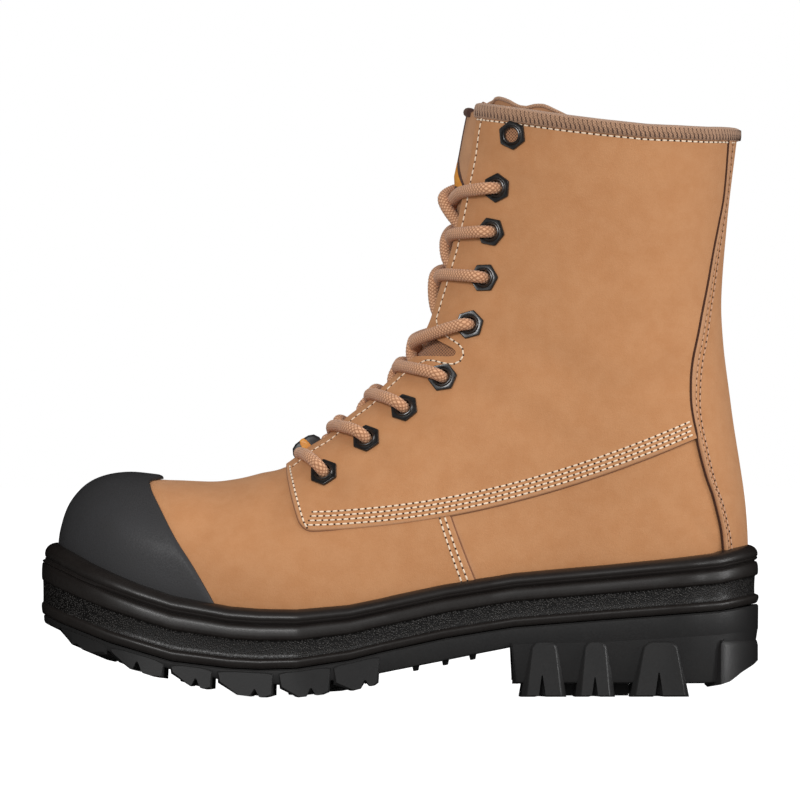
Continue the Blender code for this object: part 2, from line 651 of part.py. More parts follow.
def make_outsole():
    """Tread slab, heel block and lugs in one moulding."""
    def slab_top(x):
        return sole_line("parting", x) - FIT

    def lug_root(x):
        return sole_line("base", x) + ROOT

    def tread(x):
        return sole_line("tread", x)

    def lug_head(x):
        return HEEL_LUG_TOP

    def heel_floor(x):
        return HEEL_FLOOR

    def heel_bar_root(x):
        return HEEL_FLOOR + ROOT

    slab = [sole_ring(SLAB_INSET, lambda x: sole_line("base", x)), sole_ring(SLAB_INSET, slab_top)]
    outsole = link("outsole", mesh_of("outsole", *strip_loft(slab, 1)), BLACK_RUBBER)
    heel_plan = inset(outline(HEEL_BREAST), HEEL_INSET)
    block = [[(x, y, z(x)) for x, y in heel_plan] for z in (heel_floor, lug_root)]
    heel = link("heel_block", mesh_of("heel_block", *loft(block)))
    boolean(outsole, "UNION", heel)
    lugs = []
    for rows, root in ((FOREFOOT_LUGS, lug_root), (HEEL_LUGS, lug_head)):
        lugs += [lug(row, side, tread, root) for row in rows for side in (-1, 1)]
    for rows, root in ((FOREFOOT_BARS, lug_root), (HEEL_BARS, heel_bar_root)):
        lugs += [bar(row, tread, root) for row in rows]
    rear = inset(outline(HEEL_REAR), LUG_FACE)
    lugs.append(loft([[(x, y, z) for x, y in rear] for z in (REAR_LUG_FOOT, HEEL_LUG_TOP)]))
    for x in ARCH_RIBS:
        rib = [(x - RIB_FOOT, ROOT), (x + RIB_FOOT, ROOT), (x + RIB_TOE, -RIB_HEIGHT),
               (x - RIB_TOE, -RIB_HEIGHT)]
        lugs.append(loft([[(px, y, sole_line("base", px) + up) for px, up in rib] for y in RIB_SIDES]))
    treads = link("lugs", mesh_of("lugs", *together(lugs)))
    boolean(outsole, "UNION", treads)
    bevel = side_prism("heel_bevel", list(HEEL_BEVEL) + [(165.0, -5.0), (128.6, -5.0)], -70.0, 70.0)
    boolean(outsole, "DIFFERENCE", bevel)


def eyelet_frame(index, side):
    """Centre on the upper's outer face, and outward normal, of an eyelet."""
    s, share = place_in_side_view(*EYELETS[index], -1)
    return surface(s, share, side), normal(s, share, side)


def seat_height(panel, centre, out, radius):
    """Height over the centre at which a flat ring of this radius lies just clear of the faceted panel."""
    heights = []
    for around in [centre] + eyelet_ring(centre, out, radius, 12, 0.0):
        start = (around + out * 20.0 + (0.0, SIDE_SHIFT, 0.0)) * MM
        hit = panel.ray_cast(Vector(start), Vector(-out), 0.04)
        if hit[3] is not None:
            heights.append(20.0 - hit[3] / MM)
    return max(heights) + FIT


def eyelet_ring(centre, out, radius, sides, height, turn=0.0):
    """Ring of points round an eyelet's axis, at a height over the upper."""
    first = np.cross(out, (1.0, 0.0, 0.0))
    first /= np.linalg.norm(first)
    second = np.cross(out, first)
    angles = [turn + 2 * math.pi * k / sides for k in range(sides)]
    return [centre + out * height + radius * (math.cos(a) * first + math.sin(a) * second) for a in angles]


def make_eyelets():
    """Hexagonal eyelets, nine on each side."""
    corner = EYELET_FLATS / math.sqrt(3)
    hole = EYELET_HOLE / 2
    sides = 6
    work = bmesh.new()
    work.from_mesh(last_sheet("panel_face", FIT + PANEL))
    panel = BVHTree.FromBMesh(work)
    work.free()
    for side, letter in ((-1, "l"), (1, "m")):
        for index in range(len(EYELETS)):
            centre, out = eyelet_frame(index, side)
            turn = math.radians(EYELET_TURN * index)
            low = seat_height(panel, centre, out, corner)
            loops = [eyelet_ring(centre, out, radius, sides, low + up, turn)
                     for radius, up in ((hole, 0.0), (corner, 0.0), (corner, EYELET_THICK * 0.5),
                                        (hole * 1.2, EYELET_THICK))]
            points = [p for loop in loops for p in loop]
            faces = []
            for r in range(len(loops)):
                after = (r + 1) % len(loops)
                for i in range(sides):
                    j = (i + 1) % sides
                    faces.append((r * sides + i, r * sides + j, after * sides + j, after * sides + i))
            name = f"eyelet_{letter}{index + 1}"
            link(name, mesh_of(name, points, faces), HARDWARE)


def eyelet_holes():
    """Cutter of all lace holes."""
    pegs = []
    for side in (-1, 1):
        for index in range(len(EYELETS)):
            centre, out = eyelet_frame(index, side)
            pegs.append(loft([eyelet_ring(centre, out, EYELET_HOLE / 2, 6, end) for end in (-6.0, 6.0)]))
    return link("lace_holes", mesh_of("lace_holes", *together(pegs)))


def flex_notches():
    """Cutter of the notch in both eyestay edges, where the ankle bends."""
    near, far = THROAT_HALF_GAP / 2, 60.0
    sides = [loft([[(x, side * y, z) for x, z in FLEX_NOTCH] for y in (near, far)]) for side in (-1, 1)]
    return link("flex_notches", mesh_of("flex_notches", *together(sides)))


def cord(name, routes, finish):
    """One solid of tubes along smooth routes; later tubes are joined to the first."""
    tubes = []
    for number, route in enumerate(routes):
        curve = bpy.data.curves.new(name, "CURVE")
        curve.dimensions = "3D"
        curve.bevel_depth = LACE_RADIUS * MM
        curve.bevel_resolution = 1
        curve.use_fill_caps = True
        steps = np.linspace(0, len(route) - 1, LACE_STEPS)
        line = curve.splines.new("POLY")
        line.points.add(len(steps) - 1)
        rows = np.array(route)
        for point, at in zip(line.points, steps):
            place = (smooth_row(rows, at) + (0.0, SIDE_SHIFT, 0.0)) * MM
            point.co = (*place, 1.0)
        guide = bpy.data.objects.new(name + "_guide", curve)
        cutters.objects.link(guide)
        bpy.context.view_layer.update()
        mesh = bpy.data.meshes.new_from_object(guide.evaluated_get(bpy.context.evaluated_depsgraph_get()))
        bpy.data.objects.remove(guide)
        work = bmesh.new()
        work.from_mesh(mesh)
        bmesh.ops.remove_doubles(work, verts=work.verts, dist=WELD)
        bmesh.ops.recalc_face_normals(work, faces=work.faces)
        work.to_mesh(mesh)
        work.free()
        mesh.materials.clear()
        tubes.append(link(f"{name}_{number}", mesh) if number else link(name, mesh, finish))
    for tube in tubes[1:]:
        boolean(tubes[0], "UNION", tube)


def make_laces():
    """Seven crossings and the lowest bar, clear of tongue, panels and eyelets."""
    leather, inside, beside_eyelet = FIT + PANEL + LACE_RADIUS, 1.2, 0.46
    for lacing in LACING:
        top, low = edge_row(lacing.over), edge_row(lacing.tuck)
        over = leather + lacing.lift
        strands = []
        for side in (-1, 1):
            strands.append([beside(lacing.row - 1, top, beside_eyelet, side, over),
                            last_point(top, 1.0, side, over),
                            front_point((top + low) / 2, 0.0, lacing.loop + STRAND_STAGGER * side),
                            front_point(low, side * (3.4 - half_gap(low)), inside)])
        cord(f"lace_crossing_{lacing.row - 1}", strands, CORD)
    over = leather + BAR_LIFT
    reach = half_gap(KEEPER_ROW) + 1.5
    straight = [front_point(KEEPER_ROW, across, over) for across in (-reach, 0.0, reach)]
    ends = [beside(len(EYELETS) - 1, KEEPER_ROW, beside_eyelet, side, over) for side in (-1, 1)]
    cord("lace_bar", [[ends[0]] + straight + [ends[1]]], CORD)
    make_lace_keeper(KEEPER_ROW)


def beside(index, row, share_of_way, side, offset):
    """Point over the leather on the way from an eyelet to the eyestay edge at a row."""
    edge = surface(row, 1.0, -1)
    x, z = np.array(EYELETS[index]) * (1 - share_of_way) + edge[[0, 2]] * share_of_way
    return last_point(*place_in_side_view(x, z, -1), side, offset)


def make_lace_keeper(s):
    """Moulded keeper that rides over the lowest lace bar."""
    half_length, half_width, wall = 7.0, 9.0, 2.8
    low, high = FIT + PANEL + 0.5, 9.4
    origin = front_point(s, 0.0, 0.0)
    out = normal(s, 1.0, -1, slit=False)
    along = np.array([out[2], 0.0, -out[0]])
    bevel, roof, slot = 1.5, high - 1.6, half_length - wall
    profile = [(-half_length, low), (-half_length, high - bevel), (bevel - half_length, high),
               (half_length - bevel, high), (half_length, high - bevel), (half_length, low),
               (slot, low), (slot, roof), (-slot, roof), (-slot, low)]
    rings = [[origin + along * a + out * up + np.array([0.0, y, 0.0]) for a, up in profile]
             for y in (-half_width, half_width)]
    link("lace_keeper", mesh_of("lace_keeper", *loft(rings)), HARDWARE)


def main():
    """Build every piece."""
    holes, notches = eyelet_holes(), flex_notches()
    make_outsole()
    make_midsole()
    make_insole()
    make_upper(holes, notches)
    make_overlays(holes, notches)
    make_collar_binding()
    make_tongue()
    make_eyelets()
    make_laces()


for old in list(bpy.data.objects):
    bpy.data.objects.remove(old)
parts = bpy.data.collections.new("work_boot")
cutters = bpy.data.collections.new("cutters")
for group in (parts, cutters):
    bpy.context.scene.collection.children.link(group)
SIDE_SHIFT = -float(np.mean([outline()[:, 1].min(), outline()[:, 1].max()]))
main()
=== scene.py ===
"""Looks of the tall laced work boot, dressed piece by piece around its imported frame.

Sizes are in millimetres unless a name says otherwise, and MM turns them into metres.
The toe is at -X, the heel at +X, the outer (lateral) side at -Y and +Z is up.
"""

import logging
import math
from dataclasses import dataclass, field
from enum import Enum
from typing import Callable, NamedTuple

import bpy
import numpy as np
from bpy.types import Material, Node, NodeOutputs, NodeSocket, NodeTree, Object
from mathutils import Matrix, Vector
from mathutils.bvhtree import BVHTree


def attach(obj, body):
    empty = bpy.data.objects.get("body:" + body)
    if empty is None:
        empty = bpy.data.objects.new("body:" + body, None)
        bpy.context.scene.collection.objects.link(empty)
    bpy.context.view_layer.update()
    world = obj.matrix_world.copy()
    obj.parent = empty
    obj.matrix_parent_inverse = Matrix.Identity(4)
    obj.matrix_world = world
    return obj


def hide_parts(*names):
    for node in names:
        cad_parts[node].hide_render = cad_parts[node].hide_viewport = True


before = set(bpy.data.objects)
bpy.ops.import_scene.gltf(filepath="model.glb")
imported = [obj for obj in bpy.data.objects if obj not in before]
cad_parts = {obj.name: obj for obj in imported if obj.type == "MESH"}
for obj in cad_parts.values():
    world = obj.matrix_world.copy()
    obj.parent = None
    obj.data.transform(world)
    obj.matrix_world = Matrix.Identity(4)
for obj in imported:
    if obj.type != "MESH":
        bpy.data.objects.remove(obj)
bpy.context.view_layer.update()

log = logging.getLogger("work_boot")
MM = 0.001
Array = np.ndarray
Face = tuple[int, ...]
Pair = tuple[float, float]
Colour = tuple[float, float, float]

# Driving sizes, shared with the solids
WALL = 2.0
PANEL = 1.4
CAP_WALL = 1.9
FIT = 0.3
TONGUE_WALL = 3.6
INSOLE_THICK = 5.0
THROAT_HALF_GAP = 7.0
COLLAR_HALF_GAP = 13.0
PANEL_FACE = FIT + PANEL


class Side(Enum):
    """Side of the foot, with the sign of its y."""

    LATERAL = -1.0
    MEDIAL = 1.0


class Gap(Enum):
    """How a sheet of the last treats the lacing gap."""

    CLOSED = "closed"
    OPEN = "open from the throat up"
    LONG = "open below the throat too"


class LastRow(NamedTuple):
    """Flat section of the last, a straight line from base to front in side view."""

    front_x: float
    front_z: float
    base_x: float
    base_z: float
    centre: float
    lateral: float
    medial: float
    tuck: float
    widest: float
    crown: float


LAST: dict[str, LastRow] = {
    "toe_tip": LastRow(-149.5, 60.0, -149.5, 44.0, 6.0, 0.0, 0.0, 0.90, 0.40, 2.4),
    "toe_front": LastRow(-148.0, 73.0, -148.0, 43.6, 6.0, 15.5, 14.5, 0.90, 0.40, 2.4),
    "toe_turn": LastRow(-143.5, 84.8, -143.5, 42.6, 6.0, 27.0, 24.5, 0.90, 0.40, 2.4),
    "toe_dome": LastRow(-134.5, 93.2, -134.5, 40.5, 5.7, 37.0, 33.0, 0.91, 0.40, 2.4),
    "toe_top": LastRow(-120.5, 96.4, -120.5, 37.3, 5.0, 45.0, 40.0, 0.92, 0.38, 2.4),
    "cap_edge": LastRow(-101.0, 94.8, -101.0, 33.4, 4.2, 50.0, 45.0, 0.93, 0.36, 2.3),
    "vamp": LastRow(-77.0, 94.7, -77.0, 30.2, 3.0, 53.0, 47.5, 0.93, 0.34, 2.1),
    "throat": LastRow(-49.5, 100.3, -49.5, 28.4, 1.2, 54.5, 47.5, 0.93, 0.33, 1.95),
    "instep_low": LastRow(-24.0, 119.3, -20.0, 30.6, 0.4, 52.0, 44.0, 0.93, 0.34, 1.85),
    "instep": LastRow(-1.0, 141.2, 18.0, 37.0, 0.0, 47.0, 40.5, 0.92, 0.36, 1.85),
    "ankle": LastRow(12.2, 162.5, 66.0, 44.8, 0.0, 42.5, 39.5, 0.88, 0.40, 1.95),
    "heel": LastRow(17.2, 179.5, 110.0, 49.6, 0.0, 41.0, 40.0, 0.88, 0.43, 2.0),
    "heel_round": LastRow(19.5, 188.5, 133.0, 51.6, 0.0, 41.0, 40.3, 0.74, 0.45, 2.0),
    "heel_turn": LastRow(21.6, 197.0, 146.0, 53.2, 0.0, 41.0, 40.5, 0.47, 0.46, 2.0),
    "heel_back": LastRow(23.4, 205.0, 151.6, 55.5, 0.0, 41.0, 40.5, 0.0, 0.47, 2.0),
    "back_low": LastRow(26.0, 218.0, 151.0, 84.0, 0.0, 41.0, 40.5, 0.0, 0.47, 2.0),
    "back_mid": LastRow(28.6, 231.0, 144.8, 126.0, 0.0, 40.5, 40.0, 0.0, 0.48, 2.0),
    "back_waist": LastRow(30.4, 241.0, 140.4, 168.0, 0.0, 40.5, 40.5, 0.0, 0.48, 2.05),
    "shaft": LastRow(32.2, 250.5, 142.8, 208.0, 0.0, 42.0, 42.0, 0.0, 0.49, 2.1),
    "collar": LastRow(34.0, 260.0, 147.6, 248.0, 0.0, 44.0, 44.0, 0.0, 0.50, 2.1),
}
LAST_NAMES = list(LAST)
THROAT_ROW = LAST_NAMES.index("throat")
HEEL_ROW = LAST_NAMES.index("heel_back")
COLLAR_ROW = LAST_NAMES.index("collar")
BACK_FULLNESS = 2.2
WIDEST_SHARE = 0.4


class PlanRow(NamedTuple):
    """Width of the sole at one place along it."""

    x: float
    centre: float
    lateral: float
    medial: float


SOLE_PLAN = [
    PlanRow(-158.5, 6.0, 56.0, 50.0),
    PlanRow(-120.0, 5.0, 57.0, 51.0),
    PlanRow(-80.0, 3.0, 58.5, 52.5),
    PlanRow(-45.0, 1.0, 59.5, 52.0),
    PlanRow(-5.0, 0.0, 55.0, 45.0),
    PlanRow(40.0, 0.0, 47.0, 40.0),
    PlanRow(80.0, 0.0, 44.5, 41.5),
    PlanRow(120.0, 0.0, 43.5, 43.0),
    PlanRow(158.5, 0.0, 43.5, 43.0),
]
TOE_ROUND = (58.0, 2.3)
HEEL_ROUND = (42.0, 2.1)


class LineRow(NamedTuple):
    """Heights of the sole's lines at one place along it."""

    x: float
    tread: float
    base: float
    parting: float
    rim: float


SOLE_LINES = [
    LineRow(-158.5, 29.5, 31.5, 36.0, 67.2),
    LineRow(-150.0, 25.5, 28.0, 32.2, 63.4),
    LineRow(-140.0, 20.9, 24.1, 28.5, 58.6),
    LineRow(-128.0, 15.5, 19.5, 24.0, 53.9),
    LineRow(-115.0, 11.3, 16.0, 20.3, 49.2),
    LineRow(-100.0, 6.5, 12.0, 16.0, 44.5),
    LineRow(-75.0, 1.6, 7.0, 13.0, 39.8),
    LineRow(-62.0, 0.0, 5.6, 12.4, 38.8),
    LineRow(-45.0, 0.0, 5.4, 12.9, 38.5),
    LineRow(-22.0, 2.6, 8.0, 16.5, 40.5),
    LineRow(-8.0, 6.0, 10.6, 20.0, 43.3),
    LineRow(20.0, 0.0, 16.0, 26.0, 49.4),
    LineRow(50.0, 0.0, 22.0, 30.8, 54.3),
    LineRow(90.0, 0.0, 23.0, 34.0, 57.8),
    LineRow(142.0, 0.0, 26.0, 37.8, 62.8),
    LineRow(158.5, 0.0, 28.0, 40.5, 66.5),
]

# Panel edges in side view
CAP_EDGE = [(-104.6, 97.6), (-109.0, 95.6), (-110.3, 93.0), (-109.2, 89.5), (-106.5, 84.3), (-98.6, 69.7),
            (-90.6, 57.3), (-82.0, 42.5), (-77.5, 34.0)]
QUARTER_FRONT = [(-42.6, 74.4), (-44.6, 77.6), (-47.6, 87.9), (-49.2, 96.0)]
QUARTER_LOWER = [(-42.6, 74.4), (-40.6, 73.0), (-38.0, 72.6)]
QUARTER_SWEEP = [(-38.0, 72.6), (45.0, 76.0), (130.0, 113.5)]
STAY_FOOT = 63.2
BACKSTAY_EDGE = [
    (143.4, 256.0), (143.0, 243.3), (141.2, 221.3), (138.9, 208.3), (136.4, 195.4), (133.2, 176.7),
    (130.5, 162.1), (128.0, 149.1), (127.0, 138.6), (127.0, 129.7), (128.0, 122.3), (130.0, 113.4),
    (132.4, 103.6), (134.8, 95.5), (137.2, 89.0), (139.3, 80.9), (141.1, 72.8), (142.1, STAY_FOOT),
]
FLEX_NOTCH = [(25.4, 150.7), (24.9, 152.0), (23.4, 152.9), (11.5, 159.3), (2.0, 164.5), (-1.0, 143.5),
              (8.6, 148.6), (22.6, 148.7), (24.6, 149.3)]
NOTCH_SEAM = [(12.4, 146.6), (16.0, 146.6), (20.6, 145.6), (24.6, 145.7), (27.6, 147.6), (28.6, 150.8),
              (27.0, 154.0), (23.0, 156.8), (18.4, 160.6)]
EYELETS = [(50.1, 247.0), (43.4, 223.6), (40.8, 204.2), (37.7, 183.9), (31.1, 163.2), (19.2, 139.8),
           (2.4, 126.1), (-14.3, 112.5), (-32.9, 97.5)]
# Share by which the leather under an eyelet turns to the side, and how far round it that reaches
EYELET_FLAT = 0.35
EYELET_PAD = 10.0
# Row of the last where the vamp's rear edge lies, and its distance from that row at two shares
SEAM_ROW = 9.41
SEAM_SHARES = (0.1, 0.45)
SEAM_LEAN = (-0.02, -0.11)
# Droop of the collar from back (0) to front (1), and the rows over which it fades
COLLAR_SAG = ((0.0, -0.9), (0.05, -0.4), (0.11, 0.4), (0.17, 0.9), (0.23, 1.3), (0.29, 1.8), (0.35, 2.2),
              (0.52, 2.2), (0.64, 1.9), (0.75, 1.4), (0.87, 0.7), (1.0, 0.0))
SAG_ROWS = 1.6


class LaceRow(NamedTuple):
    """One crossing: heights where its strands pass over and under the edges, and how far out they cross."""

    row: int
    over: float
    tuck: float
    near: float
    far: float


LACING = [
    LaceRow(2, 221.0, 207.0, 2.2, 6.6),
    LaceRow(3, 202.5, 190.0, -1.5, 2.0),
    LaceRow(4, 184.5, 169.5, -1.0, 2.9),
    LaceRow(5, 154.6, 148.0, -1.2, 2.4),
    LaceRow(6, 143.0, 137.6, -1.8, 1.6),
    LaceRow(7, 129.9, 124.8, -1.8, 0.8),
    LaceRow(8, 115.6, 111.6, -2.6, -2.6),
]
KEEPER_ROW = 7.28


class Crease(NamedTuple):
    """Soft trough in the leather, with a ridge on one side of it, in side view; the angle is in degrees."""

    x: float
    z: float
    angle: float
    length: float
    width: float
    depth: float


CREASES = [
    Crease(-84.0, 76.0, 62.0, 22.0, 9.0, 0.55),
    Crease(-64.0, 70.0, 72.0, 18.0, 8.0, 0.40),
    Crease(44.0, 128.0, -32.0, 30.0, 7.0, 0.50),
    Crease(58.0, 150.0, -22.0, 34.0, 8.0, 0.45),
    Crease(112.0, 138.0, 24.0, 22.0, 7.5, 0.55),
    Crease(108.0, 164.0, 14.0, 26.0, 9.0, 0.45),
    Crease(96.0, 84.0, 12.0, 36.0, 9.0, 0.35),
    Crease(90.0, 205.0, 78.0, 40.0, 12.0, 0.40),
    Crease(-57.0, 100.0, 25.0, 15.0, 10.0, -1.2),
    Crease(-54.0, 88.0, 74.0, 13.0, 5.0, 0.8),
]
RIDGE_HEIGHT = 0.55
RIDGE_SHIFT = 1.7


def crease_height(x: Array, z: Array) -> Array:
    """Rise of the leather over the last from its creases.

    Args:
        x: Places along the boot.
        z: Heights of those places.

    Returns:
        Rise at each place, negative in a trough.
    """
    rise = np.zeros_like(x)
    for crease in CREASES:
        turn = math.radians(crease.angle)
        along = (x - crease.x) * math.cos(turn) + (z - crease.z) * math.sin(turn)
        across = (z - crease.z) * math.cos(turn) - (x - crease.x) * math.sin(turn)
        fade = np.exp(-(along / crease.length) ** 2)
        trough = -np.exp(-(across / crease.width) ** 2)
        ridge = RIDGE_HEIGHT * np.exp(-((across - RIDGE_SHIFT * crease.width) / crease.width) ** 2)
        rise += crease.depth * fade * (trough + ridge)
    return rise


def unit(vectors: Array) -> Array:
    """Vectors of length 1 in the same directions."""
    return vectors / np.linalg.norm(vectors, axis=-1, keepdims=True)


def alike(*values: Array | float) -> tuple[Array, ...]:
    """Values as arrays of one common shape."""
    return tuple(np.broadcast_arrays(*(np.asarray(value, float) for value in values)))


def catmull_rom(rows: Array, at: Array) -> Array:
    """Points of a Catmull-Rom curve.

    Args:
        rows: Points that the curve passes through.
        at: Fractional row numbers.

    Returns:
        Array with the columns of rows in its last axis.
    """
    last = len(rows) - 1
    i = np.clip(np.floor(at).astype(int), 0, last - 1)
    t = (at - i)[..., None]
    p1, p2 = rows[i], rows[i + 1]
    p0 = np.where((i > 0)[..., None], rows[np.maximum(i - 1, 0)], 2 * p1 - p2)
    p3 = np.where((i + 2 <= last)[..., None], rows[np.minimum(i + 2, last)], 2 * p2 - p1)
    return 0.5 * (2 * p1 + (p2 - p0) * t + (2 * p0 - 5 * p1 + 4 * p2 - p3) * t ** 2
                  + (3 * p1 - p0 - 3 * p2 + p3) * t ** 3)


def smooth_path(points: list | Array, steps: int) -> Array:
    """Points along a smooth curve through others, evenly spaced in its own parameter."""
    rows = np.array(points, float)
    return catmull_rom(rows, np.linspace(0, len(rows) - 1, steps))


def reach_along(points: Array) -> Array:
    """Lengths along a line of points, from 0 at its first point."""
    return np.concatenate([[0.0], np.cumsum(np.linalg.norm(np.diff(points, axis=0), axis=1))])


def read_along(at: Array, reach: Array, rows: Array) -> Array:
    """Rows of values that belong to lengths along a line, read at other lengths."""
    return np.stack([np.interp(at, reach, column) for column in rows.T], axis=-1)


def even_path(points: Array, spacing: float) -> Array:
    """The same line with points at an even spacing along it."""
    reach = reach_along(points)
    return read_along(np.linspace(0, reach[-1], max(int(round(reach[-1] / spacing)), 1) + 1), reach, points)


def bezier(points: list[Pair], steps: int) -> Array:
    """Points along a quadratic curve from the first to the last of three points.

    Args:
        points: Start, pull and end.
        steps: Number of points.

    Returns:
        Points along the curve.
    """
    a, b, c = np.array(points)
    t = np.linspace(0, 1, steps)[:, None]
    return (1 - t) ** 2 * a + 2 * t * (1 - t) * b + t * t * c


BACKSTAY_LINE = even_path(smooth_path(BACKSTAY_EDGE, 400), 0.8)


class BootLast:
    """Skin of the boot as a function of row number, share of a half section, and side."""

    normal_step = 2e-3
    first_normal = 0.02
    row_halvings = 48
    share_halvings = 40

    def __init__(self) -> None:
        """Keep the sections as one array, and how the leather turns to the side under each eyelet."""
        self.table = np.array(list(LAST.values()))
        self.pads: list[tuple[float, ...]] = []
        for x, z in EYELETS:
            nx, ny, nz = self.normal(*self.place([(x, z)], Gap.OPEN), -1.0)[0]
            steep = EYELET_FLAT / (abs(ny) * (1 - EYELET_FLAT + EYELET_FLAT * abs(ny)))
            self.pads.append((x, z, nx * steep, nz * steep))

    def section(self, s: Array) -> LastRow:
        """Sections at fractional row numbers, on a smooth curve through the rows.

        Args:
            s: Row numbers.

        Returns:
            The columns of LastRow, each as an array over the row numbers.
        """
        row = LastRow(*np.moveaxis(catmull_rom(self.table, s), -1, 0))
        return row._replace(tuck=np.where(s < HEEL_ROW, np.maximum(row.tuck, 0.0), 0.0))

    @staticmethod
    def half_gap(s: Array, gap: Gap = Gap.OPEN) -> Array:
        """Half width of the lacing gap at rows s.

        Args:
            s: Row numbers.
            gap: How the lacing gap is treated.

        Returns:
            Half widths.
        """
        share = np.clip((s - THROAT_ROW) / (COLLAR_ROW - THROAT_ROW), 0.0, None)
        width = THROAT_HALF_GAP + share * (COLLAR_HALF_GAP - THROAT_HALF_GAP)
        if gap is Gap.CLOSED:
            return np.zeros_like(width)
        return width if gap is Gap.LONG else np.where(s < THROAT_ROW - 1e-9, 0.0, width)

    def shape(self, s: Array, share: Array, side: Array, gap: Gap) -> tuple[LastRow, Array, Array]:
        """Section, half width and height share of points.

        Args:
            s: Row numbers.
            share: Places from base (0) to front (1).
            side: -1 lateral or 1 medial.
            gap: How the lacing gap is treated.

        Returns:
            The sections, the distances from the middle, and the heights from 0 to 1.
        """
        row = self.section(s)
        half = np.maximum(np.where(side < 0, row.lateral, row.medial), 0.0)
        low = np.arcsin(np.minimum(row.tuck, 1.0) ** (BACK_FULLNESS / 2))
        turn = low + (math.pi / 2 - low) * np.minimum(share / WIDEST_SHARE, 1.0)
        low_width = np.sin(turn) ** (2 / BACK_FULLNESS)
        drop = (np.maximum(np.cos(turn), 0.0) / np.cos(low)) ** (2 / BACK_FULLNESS)
        low_height = row.widest * (1 - drop)
        open_part = np.minimum(self.half_gap(s, gap) / np.maximum(half, 1e-6), 1.0)
        stop = np.arcsin(open_part ** (row.crown / 2))
        past = np.clip((share - WIDEST_SHARE) / (1 - WIDEST_SHARE), 0.0, 1.0)
        turn = math.pi / 2 + (math.pi / 2 - stop) * past
        high_width = np.maximum(np.sin(turn), 0.0) ** (2 / row.crown)
        high_height = row.widest + (1 - row.widest) * np.abs(np.cos(turn)) ** (2 / row.crown)
        lower = share <= WIDEST_SHARE
        return row, half * np.where(lower, low_width, high_width), np.where(lower, low_height, high_height)

    def surface(self, s: Array, share: Array, side: Array, gap: Gap = Gap.OPEN) -> Array:
        """Points of the upper's outer face, without creases.

        Args:
            s: Row numbers.
            share: Places from base (0) to front (1).
            side: -1 lateral or 1 medial.
            gap: How the lacing gap is treated.

        Returns:
            Points, with x, y and z in the last axis.
        """
        s, share, side = alike(s, share, side)
        row, width, height = self.shape(s, share, side, gap)
        near_collar = np.clip((s - COLLAR_ROW + SAG_ROWS) / SAG_ROWS, 0.0, 1.0)
        sag = np.interp(height, *np.array(COLLAR_SAG).T) * near_collar ** 2
        return np.stack([row.base_x + height * (row.front_x - row.base_x),
                         row.centre + side * width,
                         row.base_z + height * (row.front_z - row.base_z) - sag], axis=-1)

    def normal(self, s: Array, share: Array, side: Array, gap: Gap = Gap.OPEN) -> Array:
        """Outward unit normals of the upper's outer face, for the arguments of surface.

        Args:
            s: Row numbers.
            share: Places from base (0) to front (1).
            side: -1 lateral or 1 medial.
            gap: How the lacing gap is treated.

        Returns:
            Unit vectors, with x, y and z in the last axis.
        """
        s, share, side = alike(s, share, side)
        step = self.normal_step
        at = np.maximum(s, self.first_normal)
        slit = self.half_gap(at, gap) > 0
        behind = np.where(slit & (at < THROAT_ROW + step), at, at - step)
        along = self.surface(at + step, share, side, gap) - self.surface(behind, share, side, gap)
        low, high = np.maximum(share - step, 0.0), np.minimum(share + step, 1.0)
        across = self.surface(at, high, side, gap) - self.surface(at, low, side, gap)
        out = np.cross(along, across) * -side[..., None]
        middle = ((share > 1 - step) & ~slit) | ((share < step) & (at >= HEEL_ROW))
        out[..., 1] = np.where(middle, 0.0, out[..., 1])
        return out / np.maximum(np.linalg.norm(out, axis=-1, keepdims=True), 1e-12)

    def skin(self, s: Array, share: Array, side: Array, offset: Array | float = 0.0,
             gap: Gap = Gap.OPEN) -> Array:
        """Points at a distance outside the creased upper.

        Args:
            s: Row numbers.
            share: Places from base (0) to front (1).
            side: -1 lateral or 1 medial.
            offset: Distances from the creased leather.
            gap: How the lacing gap is treated.

        Returns:
            Points, with x, y and z in the last axis.
        """
        base = self.surface(s, share, side, gap)
        x, z = base[..., 0], base[..., 2]
        rise = offset + crease_height(x, z)
        for at_x, at_z, by_x, by_z in self.pads:
            reach = ((x - at_x) ** 2 + (z - at_z) ** 2) / EYELET_PAD ** 2
            rise = rise + (by_x * (x - at_x) + by_z * (z - at_z)) * np.exp(-reach)
        return base + np.asarray(rise)[..., None] * self.normal(s, share, side, gap)

    def place(self, points: list | Array, gap: Gap = Gap.LONG) -> tuple[Array, Array]:
        """Rows and shares of the points that are seen at given places from the side.

        Args:
            points: Places as x and z.
            gap: How the lacing gap is treated.

        Returns:
            Row numbers and shares.
        """
        x, z = np.array(points, float).T
        low, high = np.zeros_like(x), np.full_like(x, COLLAR_ROW)
        for _ in range(self.row_halvings):
            middle = (low + high) / 2
            row = self.section(middle)
            beside = ((row.front_x - row.base_x) * (z - row.base_z)
                      - (row.front_z - row.base_z) * (x - row.base_x))
            low, high = np.where(beside < 0, middle, low), np.where(beside < 0, high, middle)
        s = (low + high) / 2
        row = self.section(s)
        span = np.hypot(row.front_x - row.base_x, row.front_z - row.base_z)
        height = np.hypot(x - row.base_x, z - row.base_z) / span
        low, high, side = np.zeros_like(x), np.ones_like(x), np.full_like(x, -1.0)
        for _ in range(self.share_halvings):
            middle = (low + high) / 2
            under = self.shape(s, middle, side, gap)[2] < height
            low, high = np.where(under, middle, low), np.where(under, high, middle)
        return s, (low + high) / 2

    def edge_row(self, z: float) -> float:
        """Row where the eyestay edge has height z."""
        rows = np.linspace(THROAT_ROW, COLLAR_ROW, 241)
        return float(np.interp(z, self.surface(rows, 1.0, -1.0)[:, 2], rows))

